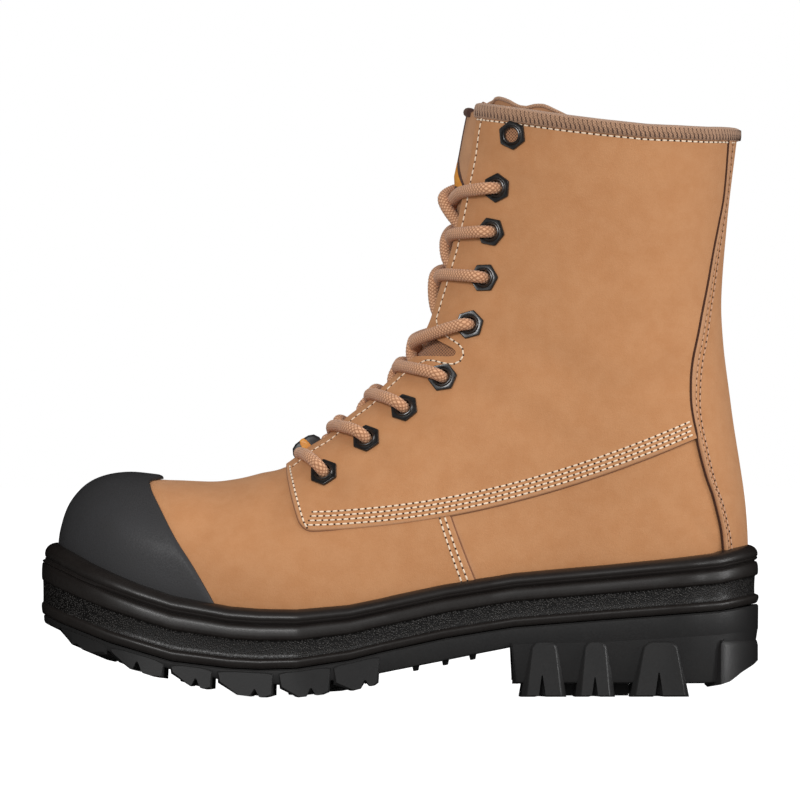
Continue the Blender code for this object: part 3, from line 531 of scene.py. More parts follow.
    def front(self, s: Array, across: Array, offset: Array | float) -> Array:
        """Points over the closed front at distances across from its middle.

        Args:
            s: Row numbers.
            across: Distances from the middle, negative on the lateral side.
            offset: Distances from the creased leather.

        Returns:
            Points.
        """
        s, across = alike(s, across)
        row = self.section(s)
        side = np.where(across < 0, -1.0, 1.0)
        half = np.where(across < 0, row.lateral, row.medial)
        turn = np.arcsin(np.minimum(np.abs(across) / half, 1.0) ** (row.crown / 2))
        share = 1 - (1 - WIDEST_SHARE) * turn / (math.pi / 2)
        return self.skin(s, share, side, offset, Gap.CLOSED)

    def front_point(self, row: float, across: float, offset: float) -> Array:
        """One point over the closed front."""
        return self.front(np.array([row]), across, offset)[0]


LASTED = BootLast()


class SoleLines:
    """Outline of the sole in plan, and its lines in side view."""

    def line(self, name: str, x: Array) -> Array:
        """Height of one of the sole's lines at places along it."""
        return np.interp(x, [row.x for row in SOLE_LINES], [getattr(row, name) for row in SOLE_LINES])

    def edge(self, x: Array, side: Side) -> Array:
        """Plan points of the outline at places along the sole, on one side.

        Args:
            x: Places along the sole.
            side: Side of the sole.

        Returns:
            Points in plan.
        """
        x = np.asarray(x, float)
        places = [row.x for row in SOLE_PLAN]
        across = np.interp(x, places, [getattr(row, side.name.lower()) for row in SOLE_PLAN])
        for end, (length, power) in zip((places[0], places[-1]), (TOE_ROUND, HEEL_ROUND)):
            past = np.maximum(length - np.abs(x - end), 0.0) / length
            across = across * np.maximum(1 - past ** power, 0.0) ** (1 / power)
        centre = np.interp(x, places, [row.centre for row in SOLE_PLAN])
        return np.stack([x, centre + side.value * across], axis=-1)

    def outline(self, stations: int, x_from: float | None = None) -> Array:
        """Plan points round the sole from the toe along the lateral side and back.

        Args:
            stations: Number of steps from toe to heel.
            x_from: Where to start instead of the toe; the outline is then cut square there.

        Returns:
            Points in plan, evenly spaced.
        """
        toe, heel = SOLE_PLAN[0].x, SOLE_PLAN[-1].x
        start = 0.0 if x_from is None else math.acos(((toe + heel) / 2 - x_from) / ((heel - toe) / 2))
        x = (toe + heel) / 2 - (heel - toe) / 2 * np.cos(np.linspace(start, math.pi, 400))
        loop = np.concatenate([self.edge(x, Side.LATERAL), self.edge(x, Side.MEDIAL)[::-1][1:]])
        if x_from is None:
            return even_path(loop, (heel - toe) / stations)[:-1]
        across = np.linspace(loop[-1], loop[0], 12)[1:-1]
        return np.concatenate([even_path(loop, (heel - toe) / stations), across])

    @staticmethod
    def inset(plan: Array, distance: Array | float) -> Array:
        """Plan outline moved inward by a distance, one for all points or one for each.

        Args:
            plan: Closed outline in plan.
            distance: How far it moves.

        Returns:
            The new outline.
        """
        ahead = np.roll(plan, -1, axis=0) - np.roll(plan, 1, axis=0)
        inward = unit(np.stack([-ahead[:, 1], ahead[:, 0]], axis=1))
        return plan + np.broadcast_to(np.asarray(distance, float), len(plan))[:, None] * inward


SOLE = SoleLines()
# The tables' y, moved so that the frame's origin lies in the middle of the sole's width
SIDE_SHIFT = -float(np.mean([SOLE.outline(400)[:, 1].min(), SOLE.outline(400)[:, 1].max()]))


# Shader nodes

class Nodes:
    """Adds nodes to a tree and links them."""

    def __init__(self, tree: NodeTree) -> None:
        """Keep the tree."""
        self.tree = tree

    def add(self, kind: str, inputs: dict | None = None, **settings: object) -> Node:
        """Add a node.

        Args:
            kind: Node type.
            inputs: Values or sockets for its inputs, by name or number.
            settings: Attributes of the node.

        Returns:
            The node.
        """
        node = self.tree.nodes.new(kind)
        for name, value in settings.items():
            setattr(node, name, value)
        self.feed(node, inputs or {})
        return node

    def feed(self, node: Node, inputs: dict) -> None:
        """Give a node's inputs values or sockets, by name or number.

        Args:
            node: The node.
            inputs: Values or sockets by input.
        """
        for name, value in inputs.items():
            if isinstance(value, NodeSocket):
                self.tree.links.new(value, node.inputs[name])
            else:
                node.inputs[name].default_value = value

    def group(self, tree: NodeTree, **inputs: object) -> NodeOutputs:
        """Outputs of a node group placed with its own inputs."""
        return self.add("ShaderNodeGroup", inputs, node_tree=tree).outputs

    def math(self, operation: str, a: object, b: object = 0.0) -> NodeSocket:
        """Result of a Math node on two values or sockets."""
        return self.add("ShaderNodeMath", {0: a, 1: b}, operation=operation).outputs[0]

    def times(self, a: object, b: object) -> NodeSocket:
        """Product of two values or sockets."""
        return self.math("MULTIPLY", a, b)

    def plus(self, a: object, b: object) -> NodeSocket:
        """Sum of two values or sockets."""
        return self.math("ADD", a, b)

    def mix(self, factor: object, a: object, b: object) -> NodeSocket:
        """Colour mixed from a to b by a factor."""
        a, b = (value if isinstance(value, NodeSocket) else (*value, 1.0) for value in (a, b))
        return self.add("ShaderNodeMix", {0: factor, 6: a, 7: b}, data_type="RGBA").outputs[2]

    def tint(self, colour: object, other: object, mask: object, share: float) -> NodeSocket:
        """Colour mixed towards another by a share of a mask."""
        return self.mix(self.times(mask, share), colour, other)

    def ramp(self, value: object, low: float, high: float) -> NodeSocket:
        """Value stretched so that low becomes 0 and high becomes 1."""
        return self.add("ShaderNodeMapRange", {0: value, 1: low, 2: high},
                        interpolation_type="SMOOTHSTEP").outputs[0]

    def noise(self, place: object, scale: object, detail: float, roughness: float) -> NodeSocket:
        """Noise value at a place."""
        inputs = {"Vector": place, "Scale": scale, "Detail": detail, "Roughness": roughness}
        return self.add("ShaderNodeTexNoise", inputs).outputs["Fac"]

    def cells(self, place: object, scale: object) -> NodeSocket:
        """Distance from the middle of the nearest cell."""
        node = self.add("ShaderNodeTexVoronoi", {"Vector": place, "Scale": scale}, feature="F1")
        return node.outputs["Distance"]

    def attribute(self, name: str) -> NodeSocket:
        """Value of a mesh attribute."""
        return self.add("ShaderNodeAttribute", attribute_name=name).outputs["Fac"]

    def bump(self, shader: Node, height: object, depth: float) -> None:
        """Put a height, times a depth in millimetres, on a shader's normal."""
        bump = self.add("ShaderNodeBump", {"Height": height, "Strength": 1.0, "Distance": depth * MM})
        self.feed(shader, {"Normal": bump.outputs["Normal"]})


def node_group(name: str, vectors: list[str], values: list[str],
               outputs: list[str]) -> tuple[Nodes, dict[str, NodeSocket], Callable[..., NodeTree]]:
    """Start a shader node group.

    Args:
        name: Its name.
        vectors: Names of its vector inputs.
        values: Names of its value inputs.
        outputs: Names of its value outputs.

    Returns:
        The group's nodes, its input sockets by name, and a function that links its outputs.
    """
    tree = bpy.data.node_groups.new(name, "ShaderNodeTree")
    for side, kind, labels in (("INPUT", "NodeSocketVector", vectors), ("INPUT", "NodeSocketFloat", values),
                               ("OUTPUT", "NodeSocketFloat", outputs)):
        for label in labels:
            tree.interface.new_socket(label, in_out=side, socket_type=kind)
    nodes = Nodes(tree)
    entry = nodes.add("NodeGroupInput")
    leave = nodes.add("NodeGroupOutput")

    def close(**sockets: NodeSocket) -> NodeTree:
        """Link the group's outputs and return its tree."""
        nodes.feed(leave, sockets)
        return tree

    return nodes, {label: entry.outputs[label] for label in vectors + values}, close


class Effects:
    """Node groups that more than one finish uses, each made once."""

    def __init__(self) -> None:
        """Make every group."""
        self.grain = self.make_grain()
        self.wear = self.make_wear()
        self.weave = self.make_weave()
        self.dust = self.make_dust()

    @staticmethod
    def make_grain() -> NodeTree:
        """Blotches of tone, and a fine height, over a skin or a moulding.

        Returns:
            The group.
        """
        nodes, entry, close = node_group("surface_grain", ["Place"], ["Blotch", "Grain"],
                                         ["Tone", "Speck", "Height"])
        blotch = nodes.noise(entry["Place"], entry["Blotch"], 5.0, 0.62)
        fine = nodes.noise(entry["Place"], entry["Grain"], 4.0, 0.7)
        cells = nodes.cells(entry["Place"], entry["Grain"])
        height = nodes.plus(nodes.times(cells, 0.55), nodes.times(fine, 0.6))
        return close(Tone=nodes.ramp(blotch, 0.30, 0.70), Speck=nodes.ramp(fine, 0.36, 0.66), Height=height)

    @staticmethod
    def make_wear() -> NodeTree:
        """Broken wear where the mesh's edge attribute is high.

        Returns:
            The group.
        """
        nodes, entry, close = node_group("edge_wear", ["Place"], ["Break"], ["Mask"])
        edge = nodes.attribute("edge")
        broken = nodes.ramp(nodes.noise(entry["Place"], entry["Break"], 3.0, 0.6), 0.25, 0.72)
        part = nodes.plus(nodes.times(broken, 0.6), 0.4)
        return close(Mask=nodes.times(edge, part))

    @staticmethod
    def make_weave() -> NodeTree:
        """Two crossing sets of threads, from the mesh's along and across attributes in millimetres.

        Returns:
            The group.
        """
        nodes, _, close = node_group("cloth_weave", [], [], ["Height", "Hole"])
        turns = 4.6
        along, across = nodes.attribute("along"), nodes.attribute("across")
        waves = []
        for sign in (1.0, -1.0):
            run = nodes.plus(nodes.times(along, turns),
                             nodes.times(across, turns * sign))
            waves.append(nodes.plus(nodes.times(nodes.math("SINE", run), 0.5), 0.5))
        height = nodes.math("MAXIMUM", *waves)
        return close(Height=height, Hole=nodes.ramp(height, 0.88, 0.45))

    @staticmethod
    def make_dust() -> NodeTree:
        """Thin dust on faces that look up, broken by noise.

        Returns:
            The group.
        """
        nodes, entry, close = node_group("dust_film", ["Place"], ["Amount"], ["Mask"])
        up = nodes.add("ShaderNodeSeparateXYZ", {0: nodes.add("ShaderNodeNewGeometry").outputs["Normal"]})
        facing = nodes.ramp(up.outputs["Z"], 0.15, 1.0)
        broken = nodes.ramp(nodes.noise(entry["Place"], 260.0, 5.0, 0.7), 0.38, 0.75)
        return close(Mask=nodes.times(nodes.times(facing, broken), entry["Amount"]))


EFFECTS = Effects()


@dataclass(frozen=True)
class Finish:
    """A material: its name, the record's slot it belongs to, and its main values."""

    name: str
    slot: str
    base: Colour
    roughness: float

    def material(self) -> Material:
        """The material, made the first time that it is asked for.

        Returns:
            The material.
        """
        made = bpy.data.materials.get(self.name)
        if made is None:
            made = bpy.data.materials.new(self.name)
            made.use_nodes = True
            nodes = Nodes(made.node_tree)
            shader = made.node_tree.nodes["Principled BSDF"]
            nodes.feed(shader, {"Roughness": self.roughness, "Base Color": (*self.base, 1.0)})
            made.diffuse_color = (*self.base, 1.0)
            self.dress(nodes, shader, nodes.add("ShaderNodeTexCoord").outputs["Object"])
        return made

    def dress(self, nodes: Nodes, shader: Node, place: NodeSocket) -> None:
        """Add this finish's own nodes.

        Args:
            nodes: Nodes of the material.
            shader: Its Principled BSDF.
            place: Place on the piece, for textures.
        """
        raise NotImplementedError


@dataclass(frozen=True)
class Leather(Finish):
    """Brushed tan leather with a short nap, blotches of tone and paler worn edges."""

    dark: Colour = (0.36, 0.145, 0.052)
    pale: Colour = (0.60, 0.32, 0.16)
    worn: Colour = (0.47, 0.26, 0.15)

    def dress(self, nodes: Nodes, shader: Node, place: NodeSocket) -> None:
        """Tone, nap and worn edges.

        Args:
            nodes: Nodes of the material.
            shader: Its Principled BSDF.
            place: Place on the piece.
        """
        broad = nodes.group(EFFECTS.grain, Place=place, Blotch=22.0, Grain=900.0)
        near = nodes.group(EFFECTS.grain, Place=place, Blotch=130.0, Grain=2600.0)
        wear = nodes.group(EFFECTS.wear, Place=place, Break=500.0)
        colour = nodes.tint(self.base, self.dark, broad["Tone"], 0.24)
        colour = nodes.tint(colour, self.pale, near["Tone"], 0.28)
        colour = nodes.tint(colour, self.dark, near["Speck"], 0.16)
        colour = nodes.tint(colour, self.worn, wear["Mask"], 0.75)
        rough = nodes.add("ShaderNodeMapRange", {0: near["Speck"], 3: self.roughness - 0.08,
                                                 4: self.roughness + 0.1}).outputs[0]
        nodes.feed(shader, {"Base Color": colour, "Roughness": rough, "Specular IOR Level": 0.25,
                            "Sheen Weight": 0.12, "Sheen Roughness": 0.5,
                            "Sheen Tint": (0.9, 0.72, 0.55, 1.0)})
        height = nodes.plus(near["Height"], nodes.times(broad["Height"], 0.8))
        nodes.bump(shader, height, 0.09)


@dataclass(frozen=True)
class Rubber(Finish):
    """Moulded black rubber, with pebbles where the mesh's pebble attribute is high."""

    grey: Colour = (0.026, 0.024, 0.022)
    # Painted highlight on the pebbles' tips, and painted shade in the pits between them.
    painted_glint: Colour = (0.05, 0.046, 0.043)
    pit_shade: Colour = (0.003, 0.003, 0.003)
    dust_tone: Colour = (0.12, 0.108, 0.096)
    grain: float = 1500.0
    depth: float = 0.05
    pebbles: float = 0.0
    dust: float = 0.12
    coat: float = 0.14
    shine: float = 0.4

    def dress(self, nodes: Nodes, shader: Node, place: NodeSocket) -> None:
        """Moulding grain, worn ridges, pebbles with painted shade in the pits between them and a painted
        highlight on their tips, and dust.

        Args:
            nodes: Nodes of the material.
            shader: Its Principled BSDF.
            place: Place on the piece.
        """
        fine = nodes.group(EFFECTS.grain, Place=place, Blotch=70.0, Grain=self.grain)
        wear = nodes.group(EFFECTS.wear, Place=place, Break=420.0)
        dust = nodes.group(EFFECTS.dust, Place=place, Amount=self.dust)
        colour = nodes.tint(self.base, self.grey, fine["Tone"], 0.2)
        colour = nodes.tint(colour, self.grey, wear["Mask"], 0.35)
        colour = nodes.tint(colour, self.dust_tone, dust["Mask"], 0.25)
        height = nodes.times(fine["Height"], self.depth)
        rough = nodes.plus(nodes.times(fine["Speck"], 0.16), self.roughness - 0.06)
        if self.pebbles:
            mask = nodes.attribute("pebble")
            dome = nodes.ramp(nodes.cells(place, self.pebbles), 0.6, 0.12)
            # Painted shade darkens the pits between the pebbles and a painted highlight lightens their tips.
            pit_shade = nodes.times(nodes.math("SUBTRACT", 1.0, dome), mask)
            glint_mask = nodes.times(nodes.math("POWER", dome, 1.3), mask)
            pebble = nodes.times(nodes.times(dome, mask), 0.3)
            height = nodes.plus(height, pebble)
            colour = nodes.tint(colour, self.pit_shade, pit_shade, 0.75)
            colour = nodes.mix(glint_mask, colour, self.painted_glint)
        nodes.feed(shader, {"Base Color": colour, "Roughness": rough, "Specular IOR Level": self.shine,
                            "Coat Weight": self.coat, "Coat Roughness": 0.22})
        nodes.bump(shader, height, 1.0)


@dataclass(frozen=True)
class Thread(Finish):
    """Twisted sewing thread."""

    shade: Colour = (0.30, 0.20, 0.13)

    def dress(self, nodes: Nodes, shader: Node, place: NodeSocket) -> None:
        """Fine twist and soft sheen.

        Args:
            nodes: Nodes of the material.
            shader: Its Principled BSDF.
            place: Place on the piece.
        """
        fine = nodes.group(EFFECTS.grain, Place=place, Blotch=900.0, Grain=3800.0)
        colour = nodes.tint(self.base, self.shade, fine["Tone"], 0.3)
        nodes.feed(shader, {"Base Color": colour, "Sheen Weight": 0.15})
        nodes.bump(shader, fine["Height"], 0.08)


@dataclass(frozen=True)
class Braid(Finish):
    """Braided cord; the mesh's along, turn_x and turn_y attributes say where on the cord a point lies."""

    # Painted shade in the gaps between the plaits, and a painted highlight on their crests.
    gap: Colour = (0.36, 0.16, 0.08)
    pale: Colour = (0.86, 0.54, 0.34)
    carriers: int = 8
    pitch: float = 12.5

    def dress(self, nodes: Nodes, shader: Node, place: NodeSocket) -> None:
        """Plaits that cross in lozenges, painted shade in the gaps between them, a painted highlight on
        their crests, and fine yarn.

        Args:
            nodes: Nodes of the material.
            shader: Its Principled BSDF.
            place: Place on the piece.
        """
        fine = nodes.group(EFFECTS.grain, Place=place, Blotch=420.0, Grain=4200.0)
        turn = nodes.math("ARCTAN2", nodes.attribute("turn_y"), nodes.attribute("turn_x"))
        turn = nodes.times(turn, self.carriers / (2 * math.pi))
        along = nodes.times(nodes.attribute("along"), self.carriers / self.pitch)
        sides = []
        for operation in ("ADD", "SUBTRACT"):
            part = nodes.math("FLOORED_MODULO", nodes.math(operation, turn, along), 1.0)
            part = nodes.math("SUBTRACT", part, 0.5)
            square = nodes.times(nodes.times(part, part), 4.0)
            sides.append(nodes.math("SUBTRACT", 1.0, square))
        plait = nodes.times(*sides)
        # Painted shade in the gaps between the plaits and a painted highlight on their crests.
        colour = nodes.mix(nodes.ramp(plait, 0.0, 0.7), self.gap, self.base)
        colour = nodes.tint(colour, self.pale, nodes.ramp(plait, 0.45, 1.0), 0.55)
        colour = nodes.tint(colour, self.base, fine["Tone"], 0.25)
        nodes.feed(shader, {"Base Color": colour, "Sheen Weight": 0.15, "Specular IOR Level": 0.3})
        height = nodes.plus(nodes.times(plait, 0.3), nodes.times(fine["Height"], 0.1))
        nodes.bump(shader, height, 1.0)


@dataclass(frozen=True)
class Cloth(Finish):
    """Knitted or woven cloth, with its threads laid by the mesh's along and across attributes."""

    hole: Colour = (0.09, 0.04, 0.02)
    open_part: float = 0.7

    def dress(self, nodes: Nodes, shader: Node, place: NodeSocket) -> None:
        """Threads, holes between them and fibre.

        Args:
            nodes: Nodes of the material.
            shader: Its Principled BSDF.
            place: Place on the piece.
        """
        weave = nodes.group(EFFECTS.weave)
        fine = nodes.group(EFFECTS.grain, Place=place, Blotch=160.0, Grain=3000.0)
        colour = nodes.tint(self.base, self.hole, weave["Hole"], self.open_part)
        colour = nodes.tint(colour, tuple(min(1.0, 1.35 * c) for c in self.base), fine["Tone"], 0.3)
        nodes.feed(shader, {"Base Color": colour, "Sheen Weight": 0.2})
        height = nodes.plus(nodes.times(weave["Height"], 0.25),
                            nodes.times(fine["Height"], 0.06))
        nodes.bump(shader, height, 1.0)


@dataclass(frozen=True)
class Coated(Finish):
    """Gloss black coating over metal, or smooth moulded plastic."""

    coat: float = 0.6
    dust_tone: Colour = (0.3, 0.27, 0.24)

    def dress(self, nodes: Nodes, shader: Node, place: NodeSocket) -> None:
        """Slight orange peel, blotches and dust.

        Args:
            nodes: Nodes of the material.
            shader: Its Principled BSDF.
            place: Place on the piece.
        """
        fine = nodes.group(EFFECTS.grain, Place=place, Blotch=300.0, Grain=1400.0)
        dust = nodes.group(EFFECTS.dust, Place=place, Amount=0.3)
        pale = tuple(min(1.0, 3.0 * c + 0.03) for c in self.base)
        colour = nodes.tint(self.base, pale, fine["Tone"], 0.15)
        colour = nodes.tint(colour, self.dust_tone, dust["Mask"], 0.15)
        rough = nodes.plus(nodes.times(fine["Speck"], 0.14), self.roughness)
        nodes.feed(shader, {"Base Color": colour, "Roughness": rough, "Coat Weight": self.coat,
                            "Coat Roughness": 0.2})
        nodes.bump(shader, fine["Height"], 0.005)


LEATHER = Leather("tan_nubuck", "tan_leather", (0.50, 0.232, 0.098), 0.78)
# Raw cut edges of the panels; the same colour also paints the shadow lines along the vamp seam and the
# quarters' edges.
EDGE_AND_SHADOW_LEATHER = Leather("raw_leather_edge", "tan_leather", (0.24, 0.105, 0.053), 0.85,
                       dark=(0.16, 0.065, 0.03), pale=(0.32, 0.15, 0.08), worn=(0.34, 0.17, 0.10))
# Painted shadow line along the backstay's front edge.
SEAM_SHADE = Leather("seam_shade", "tan_leather", (0.055, 0.02, 0.011), 0.9, dark=(0.035, 0.012, 0.007),
                     pale=(0.09, 0.036, 0.02), worn=(0.09, 0.036, 0.02))
TOE_RUBBER = Rubber("bumper_rubber", "toe_rubber", (0.034, 0.0335, 0.0355), 0.6, grain=1300.0, coat=0.04)
MIDSOLE_FOAM = Rubber("cup_rubber", "midsole_foam", (0.0125, 0.0095, 0.0085), 0.42, grain=2200.0, depth=0.02,
                      pebbles=1300.0)
TREAD_RUBBER = Rubber("lug_rubber", "tread_rubber", (0.016, 0.0155, 0.0157), 0.44, grain=1700.0, depth=0.03)
CREAM_THREAD = Thread("cream_thread", "tan_leather", (0.95, 0.77, 0.58), 0.8)
DARK_THREAD = Thread("brown_thread", "binding_tape", (0.075, 0.034, 0.02), 0.85, shade=(0.04, 0.018, 0.01))
TAN_THREAD = Thread("tan_thread", "tan_leather", (0.62, 0.36, 0.22), 0.8, shade=(0.3, 0.15, 0.085))
NEEDLE_HOLE = Thread("needle_hole", "tan_leather", (0.03, 0.014, 0.008), 0.9, shade=(0.015, 0.007, 0.004))
LACE_BRAID = Braid("tan_braid", "lace_cord", (0.68, 0.345, 0.182), 0.8)
TAPE = Cloth("knit_tape", "binding_tape", (0.415, 0.236, 0.141), 0.9, hole=(0.16, 0.085, 0.05),
             open_part=0.5)
LINING = Cloth("mesh_lining", "tongue_padding", (0.46, 0.215, 0.105), 0.9, hole=(0.07, 0.025, 0.012),
               open_part=0.85)
PADDING = Leather("tongue_leather", "tongue_padding", (0.43, 0.235, 0.13), 0.82)
DARK_EDGE = Leather("dark_piping", "tongue_padding", (0.085, 0.045, 0.038), 0.8, dark=(0.04, 0.02, 0.018),
                    pale=(0.15, 0.08, 0.06))
FOOTBED = Cloth("grey_felt", "footbed", (0.10, 0.10, 0.10), 0.95, hole=(0.05, 0.05, 0.05), open_part=0.5)
EYELET_BLACK = Coated("black_enamel", "eyelet_black", (0.008, 0.007, 0.007), 0.3, coat=0.7)
KEEPER_BLACK = Coated("black_plastic", "keeper_black", (0.02, 0.02, 0.021), 0.42, coat=0.15)
ORANGE_BAND = Coated("orange_band", "keeper_black", (0.70, 0.26, 0.035), 0.5, coat=0.1)


# Meshes

@dataclass
class Body:
    """Points and faces of one piece, with a finish number for each face and values for each point."""

    points: Array
    faces: list[Face]
    slots: list[int] = field(default_factory=list)
    values: dict[str, Array] = field(default_factory=dict)

    def paint(self, slot: int) -> "Body":
        """Give every face one finish number; returns the body itself."""
        self.slots = [slot] * len(self.faces)
        return self

    @staticmethod
    def joined(bodies: list["Body"]) -> "Body":
        """Several bodies as one; a value that a body lacks is 0 there.

        Args:
            bodies: Bodies to join.

        Returns:
            A new body with all their points, faces, finish numbers and values.
        """
        names = sorted({name for body in bodies for name in body.values})
        faces, slots, base = [], [], 0
        for body in bodies:
            faces += [tuple(i + base for i in face) for face in body.faces]
            slots += body.slots or [0] * len(body.faces)
            base += len(body.points)
        values = {}
        for name in names:
            parts = [body.values.get(name, np.zeros(len(body.points))) for body in bodies]
            values[name] = np.concatenate(parts)
        return Body(np.concatenate([body.points for body in bodies]), faces, slots, values)


def flipped(faces: list[Face]) -> list[Face]:
    """The same faces, seen from their other side."""
    return [tuple(reversed(face)) for face in faces]


def thicken(outer: Array, inner: Array, faces: list[Face], inner_slot: int = 0, rim_slot: int = 0) -> Body:
    """Closed wall between two sheets of the same faces.

    Args:
        outer: Points of the outer sheet.
        inner: Points of the inner sheet.
        faces: Faces of the outer sheet, counter-clockwise from outside.
        inner_slot: Finish number of the inner sheet.
        rim_slot: Finish number of the rim.

    Returns:
        The wall.
    """
    count = len(outer)
    used = {(face[i], face[(i + 1) % len(face)]) for face in faces for i in range(len(face))}
    rim = [(b, a, a + count, b + count) for a, b in used if (b, a) not in used]
    back = [tuple(i + count for i in reversed(face)) for face in faces]
    slots = [0] * len(faces) + [inner_slot] * len(back) + [rim_slot] * len(rim)
    return Body(np.concatenate([outer, inner]), faces + back + rim, slots)


def grid_faces(rows: int, columns: int, closed: bool = False) -> list[Face]:
    """Quads of a grid of points, row by row; closed joins the last column to the first.

    Args:
        rows: Number of rows.
        columns: Points in a row.
        closed: Whether rows are rings.

    Returns:
        The quads.
    """
    wrap = columns if closed else columns - 1
    return [(r * columns + c, r * columns + (c + 1) % columns, (r + 1) * columns + (c + 1) % columns,
             (r + 1) * columns + c) for r in range(rows - 1) for c in range(wrap)]


def rings_body(rings: Array, loop: bool = False, cap: bool = True) -> Body:
    """Body through rings of equally many points.

    Args:
        rings: Array of rings, points and coordinates.
        loop: Whether the last ring joins the first.
        cap: Whether open ends are closed by one face each.

    Returns:
        The body.
    """
    count, size = rings.shape[:2]
    points = rings.reshape(-1, 3)
    faces = grid_faces(count, size, closed=True)
    if loop:
        start = (count - 1) * size
        faces += [(start + c, start + (c + 1) % size, (c + 1) % size, c) for c in range(size)]
    elif cap:
        faces += [tuple(reversed(range(size))), tuple(range((count - 1) * size, count * size))]
    return Body(points, faces)


def sweep(path: Array, profile: Callable[[Array], Array], sides: int) -> tuple[Array, Array, Array]:
    """Rings along a path with frames that don't twist.

    Args:
        path: Points along the middle.
        profile: Gives radii for lengths along the path, as an array of rings by sides.
        sides: Points in a ring.

    Returns:
        Rings, lengths along the path, and angles round it.
    """
    ahead = unit(np.gradient(path, axis=0))
    first = np.cross(ahead[0], (0.0, 0.0, 1.0) if abs(ahead[0][2]) < 0.9 else (1.0, 0.0, 0.0))
    frames = []
    for direction in ahead:
        first = unit(first - direction * float(np.dot(first, direction)))
        frames.append((first, np.cross(direction, first)))
    reach = reach_along(path)
    turn = np.linspace(0, 2 * math.pi, sides, endpoint=False)
    radii = profile(reach)
    across = np.array([a for a, _ in frames])[:, None, :] * np.cos(turn)[None, :, None]
    along = np.array([b for _, b in frames])[:, None, :] * np.sin(turn)[None, :, None]
    return path[:, None, :] + (across + along) * radii[..., None], reach, turn


def tube(path: Array, spacing: float, radius: float, sides: int) -> tuple[Body, Array, Array]:
    """Round bar along a path.

    Args:
        path: Points along the middle.
        spacing: Distance between its rings.
        radius: Its radius.
        sides: Points in a ring.

    Returns:
        The bar, the lengths of its rings along the path, and the angles round it.
    """
    line = even_path(path, spacing)
    rings, reach, turn = sweep(line, lambda along: np.full((len(along), sides), radius), sides)
    return rings_body(rings[:, ::-1]), reach, turn


class Workshop:
    """Turns bodies into dressed objects that ride on the frame."""

    def __init__(self) -> None:
        """Start with no pieces."""
        self.pieces: list[Object] = []

    def make(self, name: str, body: Body, finishes: list[Finish], nodes: list[str] | None = None,
             sharp: float = 38.0) -> Object:
        """Make one piece.

        Args:
            name: Its name.
            body: Its points and faces, in millimetres.
            finishes: Finishes by their numbers in the body.
            nodes: Frame nodes that it stands for.
            sharp: Edges with a larger angle are shaded sharp, degrees.

        Returns:
            The object.
        """
        mesh = bpy.data.meshes.new(name)
        points = (body.points + (0.0, SIDE_SHIFT, 0.0)) * MM
        mesh.from_pydata(points.tolist(), [], body.faces)
        for finish in finishes:
            mesh.materials.append(finish.material())
        if body.slots:
            mesh.polygons.foreach_set("material_index", np.array(body.slots, np.int32))
        for label, value in body.values.items():
            attribute = mesh.attributes.new(label, "FLOAT", "POINT")
            attribute.data.foreach_set("value", np.asarray(value, np.float32))
        mesh.shade_smooth()
        mesh.set_sharp_from_angle(angle=math.radians(sharp))
        piece = bpy.data.objects.new(name, mesh)
        bpy.context.scene.collection.objects.link(piece)
        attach(piece, "root")
        if nodes:
            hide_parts(*nodes)
        self.pieces.append(piece)
        log.info("%s: %d points, %d faces", name, len(mesh.vertices), len(mesh.polygons))
        return piece


# Leather pieces

def inside_polygon(points: Array, polygon: list[Pair]) -> Array:
    """Whether places in side view lie inside an outline.

    Args:
        points: Places as x and z.
        polygon: Corners of the outline.

    Returns:
        True for each place inside.
    """
    x, z = points[..., 0], points[..., 1]
    inside = np.zeros(x.shape, bool)
    for (ax, az), (bx, bz) in zip(polygon, polygon[1:] + polygon[:1]):
        crosses = (az > z) != (bz > z)
        with np.errstate(divide="ignore", invalid="ignore"):
            inside ^= crosses & (x < (bx - ax) * (z - az) / (bz - az) + ax)
    return inside


def nearest_on(points: Array, polygon: list[Pair]) -> Array:
    """Places in side view moved to the nearest point of an outline.

    Args:
        points: Places as x and z.
        polygon: Corners of the outline.

    Returns:
        The moved places.
    """
    best, best_gap = points.copy(), np.full(len(points), np.inf)
    for a, b in zip(polygon, polygon[1:] + polygon[:1]):
        a, b = np.array(a), np.array(b)
        share = np.clip(((points - a) @ (b - a)) / np.dot(b - a, b - a), 0.0, 1.0)
        foot = a + share[:, None] * (b - a)
        gap = np.linalg.norm(points - foot, axis=1)
        best = np.where((gap < best_gap)[:, None], foot, best)
        best_gap = np.minimum(gap, best_gap)
    return best


def eyelet_frame(index: int, side: Side) -> tuple[Array, Array]:
    """Middle on the upper's outer face, and outward normal, of an eyelet.

    Args:
        index: Number of the eyelet from the top.
        side: Side of the boot.

    Returns:
        The middle and the normal.
    """
    s, share = LASTED.place([EYELETS[index]], Gap.OPEN)
    sideways = np.array((0.0, side.value, 0.0))
    out = (1 - EYELET_FLAT) * LASTED.normal(s, share, side.value)[0] + EYELET_FLAT * sideways
    return LASTED.skin(s, share, side.value)[0], unit(out)


EDGE_SHARE = 0.999


